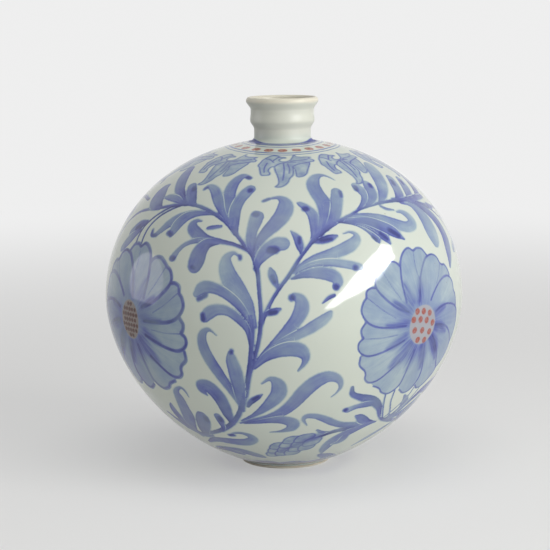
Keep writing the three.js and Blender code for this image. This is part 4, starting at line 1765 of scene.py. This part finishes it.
@dataclass
class Neck(Piece):
    """The neck: hollow at its root, with one raised band and a rolled lip."""

    seat: float
    top: float
    bore: float = 12.4
    flare: Place = (18.4, 2.8)
    waist: Place = (15.3, 6.5)
    band: Place = (17.4, 11.3)
    collar: Place = (17.05, 15.5)
    lip_radius: float = 19.5
    lip_rise: float = 4.8
    lip_thickness: float = 3.0
    lip_round: float = 2.0
    root_steps: int = 10
    swell_steps: int = 14  # up to the band, and up to the lip
    collar_steps: int = 8
    lip_steps: int = 16
    throat_steps: int = 24
    bore_steps: int = 10

    def section(self) -> list[Place]:
        """Gives the neck's section, from its root up the outside and down the bore."""
        flare_radius, flare_height = self.flare
        deep = flare_radius - self.waist[0]
        root = arc((flare_radius, self.seat + flare_height), (deep, flare_height), 270, 180, self.root_steps)
        turns = (self.waist, self.band, self.collar)
        waist, band, collar = ((radius, self.seat + rise) for radius, rise in turns)
        lip_height = self.top - self.lip_round
        lip = (self.lip_radius, lip_height)
        half = self.lip_thickness / 2
        rim = arc((self.lip_radius - half, lip_height), (half, self.lip_round), 0, 180, self.lip_steps)
        throat = (self.lip_radius - self.lip_thickness, lip_height)
        bore = (self.bore, band[1])
        return [
            *root,
            *eased(waist, band, self.swell_steps),
            *eased(band, collar, self.collar_steps)[1:],
            *eased((self.collar[0], lip_height - self.lip_rise), lip, self.swell_steps),
            *rim[1:],
            *eased(throat, bore, self.throat_steps)[1:],
            *eased(bore, (self.bore, self.seat), self.bore_steps)[1:],
        ]


@dataclass
class Foot(Piece):
    """The turned foot ring, whose edges are rubbed round."""

    inner_radius: float = 20.0
    under_radius: float = 24.3
    top_radius: float = 25.6
    top: float = 2.4
    edge: float = 0.6
    edge_steps: int = 5
    underside: Span = (21.2, 23.1)  # radii of the rings of points between the two edges
    underside_rings: int = 4
    side_low: float = 1.0  # where the side begins to lean out
    inside_ring: float = 1.2  # height of a ring of points on the inner side

    def section(self) -> list[Place]:
        """Gives the ring's section."""
        rubbed = (self.edge, self.edge)
        return [
            *arc((self.inner_radius + self.edge, self.edge), rubbed, 180, 270, self.edge_steps),
            *((radius, 0.0) for radius in np.linspace(*self.underside, self.underside_rings).tolist()),
            *arc((self.under_radius - self.edge, self.edge), rubbed, 270, 360, self.edge_steps),
            *eased((self.under_radius, self.side_low), (self.top_radius, self.top), self.edge_steps),
            (self.inner_radius, self.top),
            (self.inner_radius, self.inside_ring),
        ]


@dataclass
class Globe:
    """The hollow globe, turned in four bands whose faces are small enough to hold the painting."""

    outside: WallLine
    wall: float = 3.6
    bore: float = 12.4
    floor_radius: float = 25.0
    floor_height: float = 8.8
    lower_side: float = -55.0  # mm up the wall from the seam, where the lower side begins
    upper_side: float = 62.0  # where the upper side stops

    def inside(self) -> WallLine:
        """Gives the outline of the globe's inner side."""
        radius = self.outside.radius - self.wall
        top_height = self.outside.top_height - self.wall
        ends = (self.bore, top_height, self.floor_radius, self.floor_height)
        return WallLine(radius, self.outside.seam_height, *ends)

    def bands(self) -> list[GlobeBand]:
        """Lists the bands, from the foot up."""
        outside = self.outside
        side_low, side_high = (float(outside.section(up)[1]) for up in (self.lower_side, self.upper_side))
        levels = (outside.foot_height, side_low, outside.seam_height, side_high, outside.top_height)
        inside = self.inside()
        kinds = (
            (Belly, "belly", "lower_body", 716),
            (GlobeBand, "lower_side", "lower_body", 850),
            (GlobeBand, "upper_side", "upper_body", 850),
            (Shoulder, "shoulder", "upper_body", 664),
        )
        return [
            kind(name, node, "painted_glaze", steps, outside, inside, low, high)
            for (kind, name, node, steps), low, high in zip(kinds, levels[:-1], levels[1:])
        ]


class LampShape(Enum):
    """The outline of a lamp."""

    RECTANGLE = "RECTANGLE"
    ELLIPSE = "ELLIPSE"


@dataclass(frozen=True)
class Aim:
    """How a lamp is turned: the way that its light leaves it, and the way that its length lies."""

    facing: Direction
    along: Direction

    def turn(self) -> Matrix:
        """Gives the lamp's turn, from one that lights downwards."""
        back = -Vector(self.facing).normalized()
        side = Vector(self.along)
        side = (side - back * side.dot(back)).normalized()
        return Matrix((side, back.cross(side), back)).transposed().to_4x4()


WINDOW_WAY = Aim(facing=(-0.949, -0.046, -0.312), along=(-0.115, 0.980, 0.204))
SHEET_WAY = Aim(facing=(0.984, -0.143, -0.117), along=(-0.144, -0.988, 0.05))
CEILING_WAY = Aim(facing=(0, 0.15, -1), along=(1, 0, 0))


@dataclass(frozen=True)
class Lamp:
    """A soft flat lamp."""

    name: str
    place: Spot
    aim: Aim
    size: tuple[float, float]  # length and breadth, in metres
    watts: float
    colour: tuple[float, float, float] = (1.0, 1.0, 1.0)
    only_gleams: bool = False
    shape: LampShape = LampShape.RECTANGLE

    def hang(self) -> None:
        """Hangs the lamp, its light towards the way that it faces."""
        light = bpy.data.lights.new(self.name, "AREA")
        light.shape = self.shape.value
        light.size, light.size_y = self.size
        light.energy = self.watts
        light.color = self.colour
        lamp = bpy.data.objects.new(self.name, light)
        bpy.context.scene.collection.objects.link(lamp)
        lamp.visible_diffuse = not self.only_gleams
        lamp.visible_glossy = self.only_gleams
        lamp.matrix_world = Matrix.Translation(self.place) @ self.aim.turn()


@dataclass
class Studio:
    """The plain floor, the soft light and the camera at the photograph's angle."""

    floor_tone: Colour = (226, 226, 224)
    floor_roughness: float = 0.9
    floor_half: float = 12.0
    near_share: float = 0.4  # of the surround that the floor shows close to the vase
    fade_start: float = 250.0  # mm from the vase, from where the floor fades into the surround
    fade_stop: float = 1200.0
    surround: float = 0.86
    ambient: float = 0.335
    lens: float = 117.36
    sensor: float = 36.0
    eye: Spot = (0.0, -0.970, 0.2533)
    pitch: float = 0.154  # downwards, in radians
    yaw: float = 0.004986
    roll: float = -0.0106

    def build(self) -> None:
        """Sets up the whole studio."""
        self.floor()
        self.world()
        self.camera()
        for lamp in self.lamps():
            lamp.hang()
        bpy.context.scene.view_settings.view_transform = "Standard"

    @staticmethod
    def lamps() -> list[Lamp]:
        """Lists the lamps.

        Returns:
            The parts of the window that the glaze mirrors, which narrows to its ends, the ovals of the
            lilac sheet that it mirrors at the left, which fades to its edge, and what lights the vase.
        """
        oval = {"only_gleams": True, "shape": LampShape.ELLIPSE}
        length, breadth, watts = 0.95, 0.76, 2.8
        sheet = {"place": (-1.56, 0.22, 0.3), "aim": SHEET_WAY, "colour": (0.95, 0.9, 1.0), **oval}
        return [
            Lamp("window_top", (0.970, -0.600, 0.541), WINDOW_WAY, (0.86, 0.2), watts=9, only_gleams=True),
            Lamp("window", (0.990, -0.777, 0.504), WINDOW_WAY, (1.34, 0.3), watts=12, **oval),
            Lamp("window_end", (1.060, -1.365, 0.382), WINDOW_WAY, (2.5, 0.2), watts=17, **oval),
            *(
                Lamp("sheet", size=(length * part, breadth * part), watts=watts * part * part, **sheet)
                for part in (1.0, 0.84, 0.68, 0.5)
            ),
            Lamp("daylight", (1.048, -1.267, 0.402), WINDOW_WAY, (2.08, 0.9), 22.3, (1.0, 0.985, 0.96)),
            Lamp("overhead", (0.1, -0.35, 1.7), CEILING_WAY, (1.4, 1.0), 8),
        ]

    def floor(self) -> None:
        """Lays a wide pale sheet that keeps the vase's shadow and fades into the surround far from it."""
        bpy.ops.object.select_all(action="DESELECT")
        bpy.ops.mesh.primitive_plane_add(size=2 * self.floor_half)
        sheet = bpy.context.object
        sheet.name = "floor"
        made = bpy.data.materials.new("floor")
        made.use_nodes = True
        tree = made.node_tree
        shader = tree.nodes["Principled BSDF"]
        shader.inputs["Base Color"].default_value = linear(*self.floor_tone)
        shader.inputs["Roughness"].default_value = self.floor_roughness
        glow = tree.nodes.new("ShaderNodeEmission")
        glow.inputs["Color"].default_value = (self.surround, self.surround, self.surround, 1.0)
        right, back, _ = parts_of(object_mm(tree))
        away = (right * right + back * back).math("SQRT").ramp(self.fade_start, self.fade_stop)
        blend = tree.nodes.new("ShaderNodeMixShader")
        (self.shown(tree) * (away * (1 - self.near_share) + self.near_share)).feed(blend.inputs["Fac"])
        tree.links.new(shader.outputs["BSDF"], blend.inputs[1])
        tree.links.new(glow.outputs["Emission"], blend.inputs[2])
        tree.links.new(blend.outputs["Shader"], tree.nodes["Material Output"].inputs["Surface"])
        sheet.data.materials.append(made)

    @staticmethod
    def shown(tree: Tree) -> Reading:
        """Gives 1 where the surround is seen, directly, mirrored or through glass, and 0 where it lights."""
        path = tree.nodes.new("ShaderNodeLightPath")
        kinds = ("Is Camera Ray", "Is Glossy Ray", "Is Transmission Ray")
        seen, mirrored, through = (Reading(tree, path.outputs[kind]) for kind in kinds)
        return (seen + mirrored + through).kept()

    def world(self) -> None:
        """Surrounds the vase with an even light, and shows it as a pale background."""
        world = bpy.data.worlds.new("studio")
        bpy.context.scene.world = world
        world.use_nodes = True
        tree = world.node_tree
        level = self.shown(tree) * (self.surround - self.ambient) + self.ambient
        level.feed(tree.nodes["Background"].inputs["Color"])

    def camera(self) -> None:
        """Stands the camera where the photograph was taken from."""
        lens = bpy.data.cameras.new("camera")
        lens.lens = self.lens
        lens.sensor_width = self.sensor
        stand = bpy.data.objects.new("camera", lens)
        bpy.context.scene.collection.objects.link(stand)
        turn = (
            Matrix.Rotation(self.yaw, 4, "Z")
            @ Matrix.Rotation(math.pi / 2 - self.pitch, 4, "X")
            @ Matrix.Rotation(self.roll, 4, "Z")
        )
        stand.matrix_world = Matrix.Translation(self.eye) @ turn
        bpy.context.scene.camera = stand


def main() -> None:
    """Builds the studio and the vase, from the foot up."""
    logging.basicConfig(level=logging.INFO, format="%(name)s: %(message)s")
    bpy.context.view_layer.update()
    Studio().build()
    globe = Globe(measured_wall())
    painting = Painting(globe.outside)
    painted = PaintedGlaze().make()
    Foot("foot", "foot_ring", "bare_porcelain", 240).build(FootFinish().make())
    for band in globe.bands():
        band.paint(band.build(painted), painting)
    seat, top = (float(corner[2]) for corner in box_of("neck"))
    Neck("neck_and_lip", "neck", "plain_glaze", 256, seat, top).build(PlainGlaze().make())


if __name__ == "__main__":
    main()
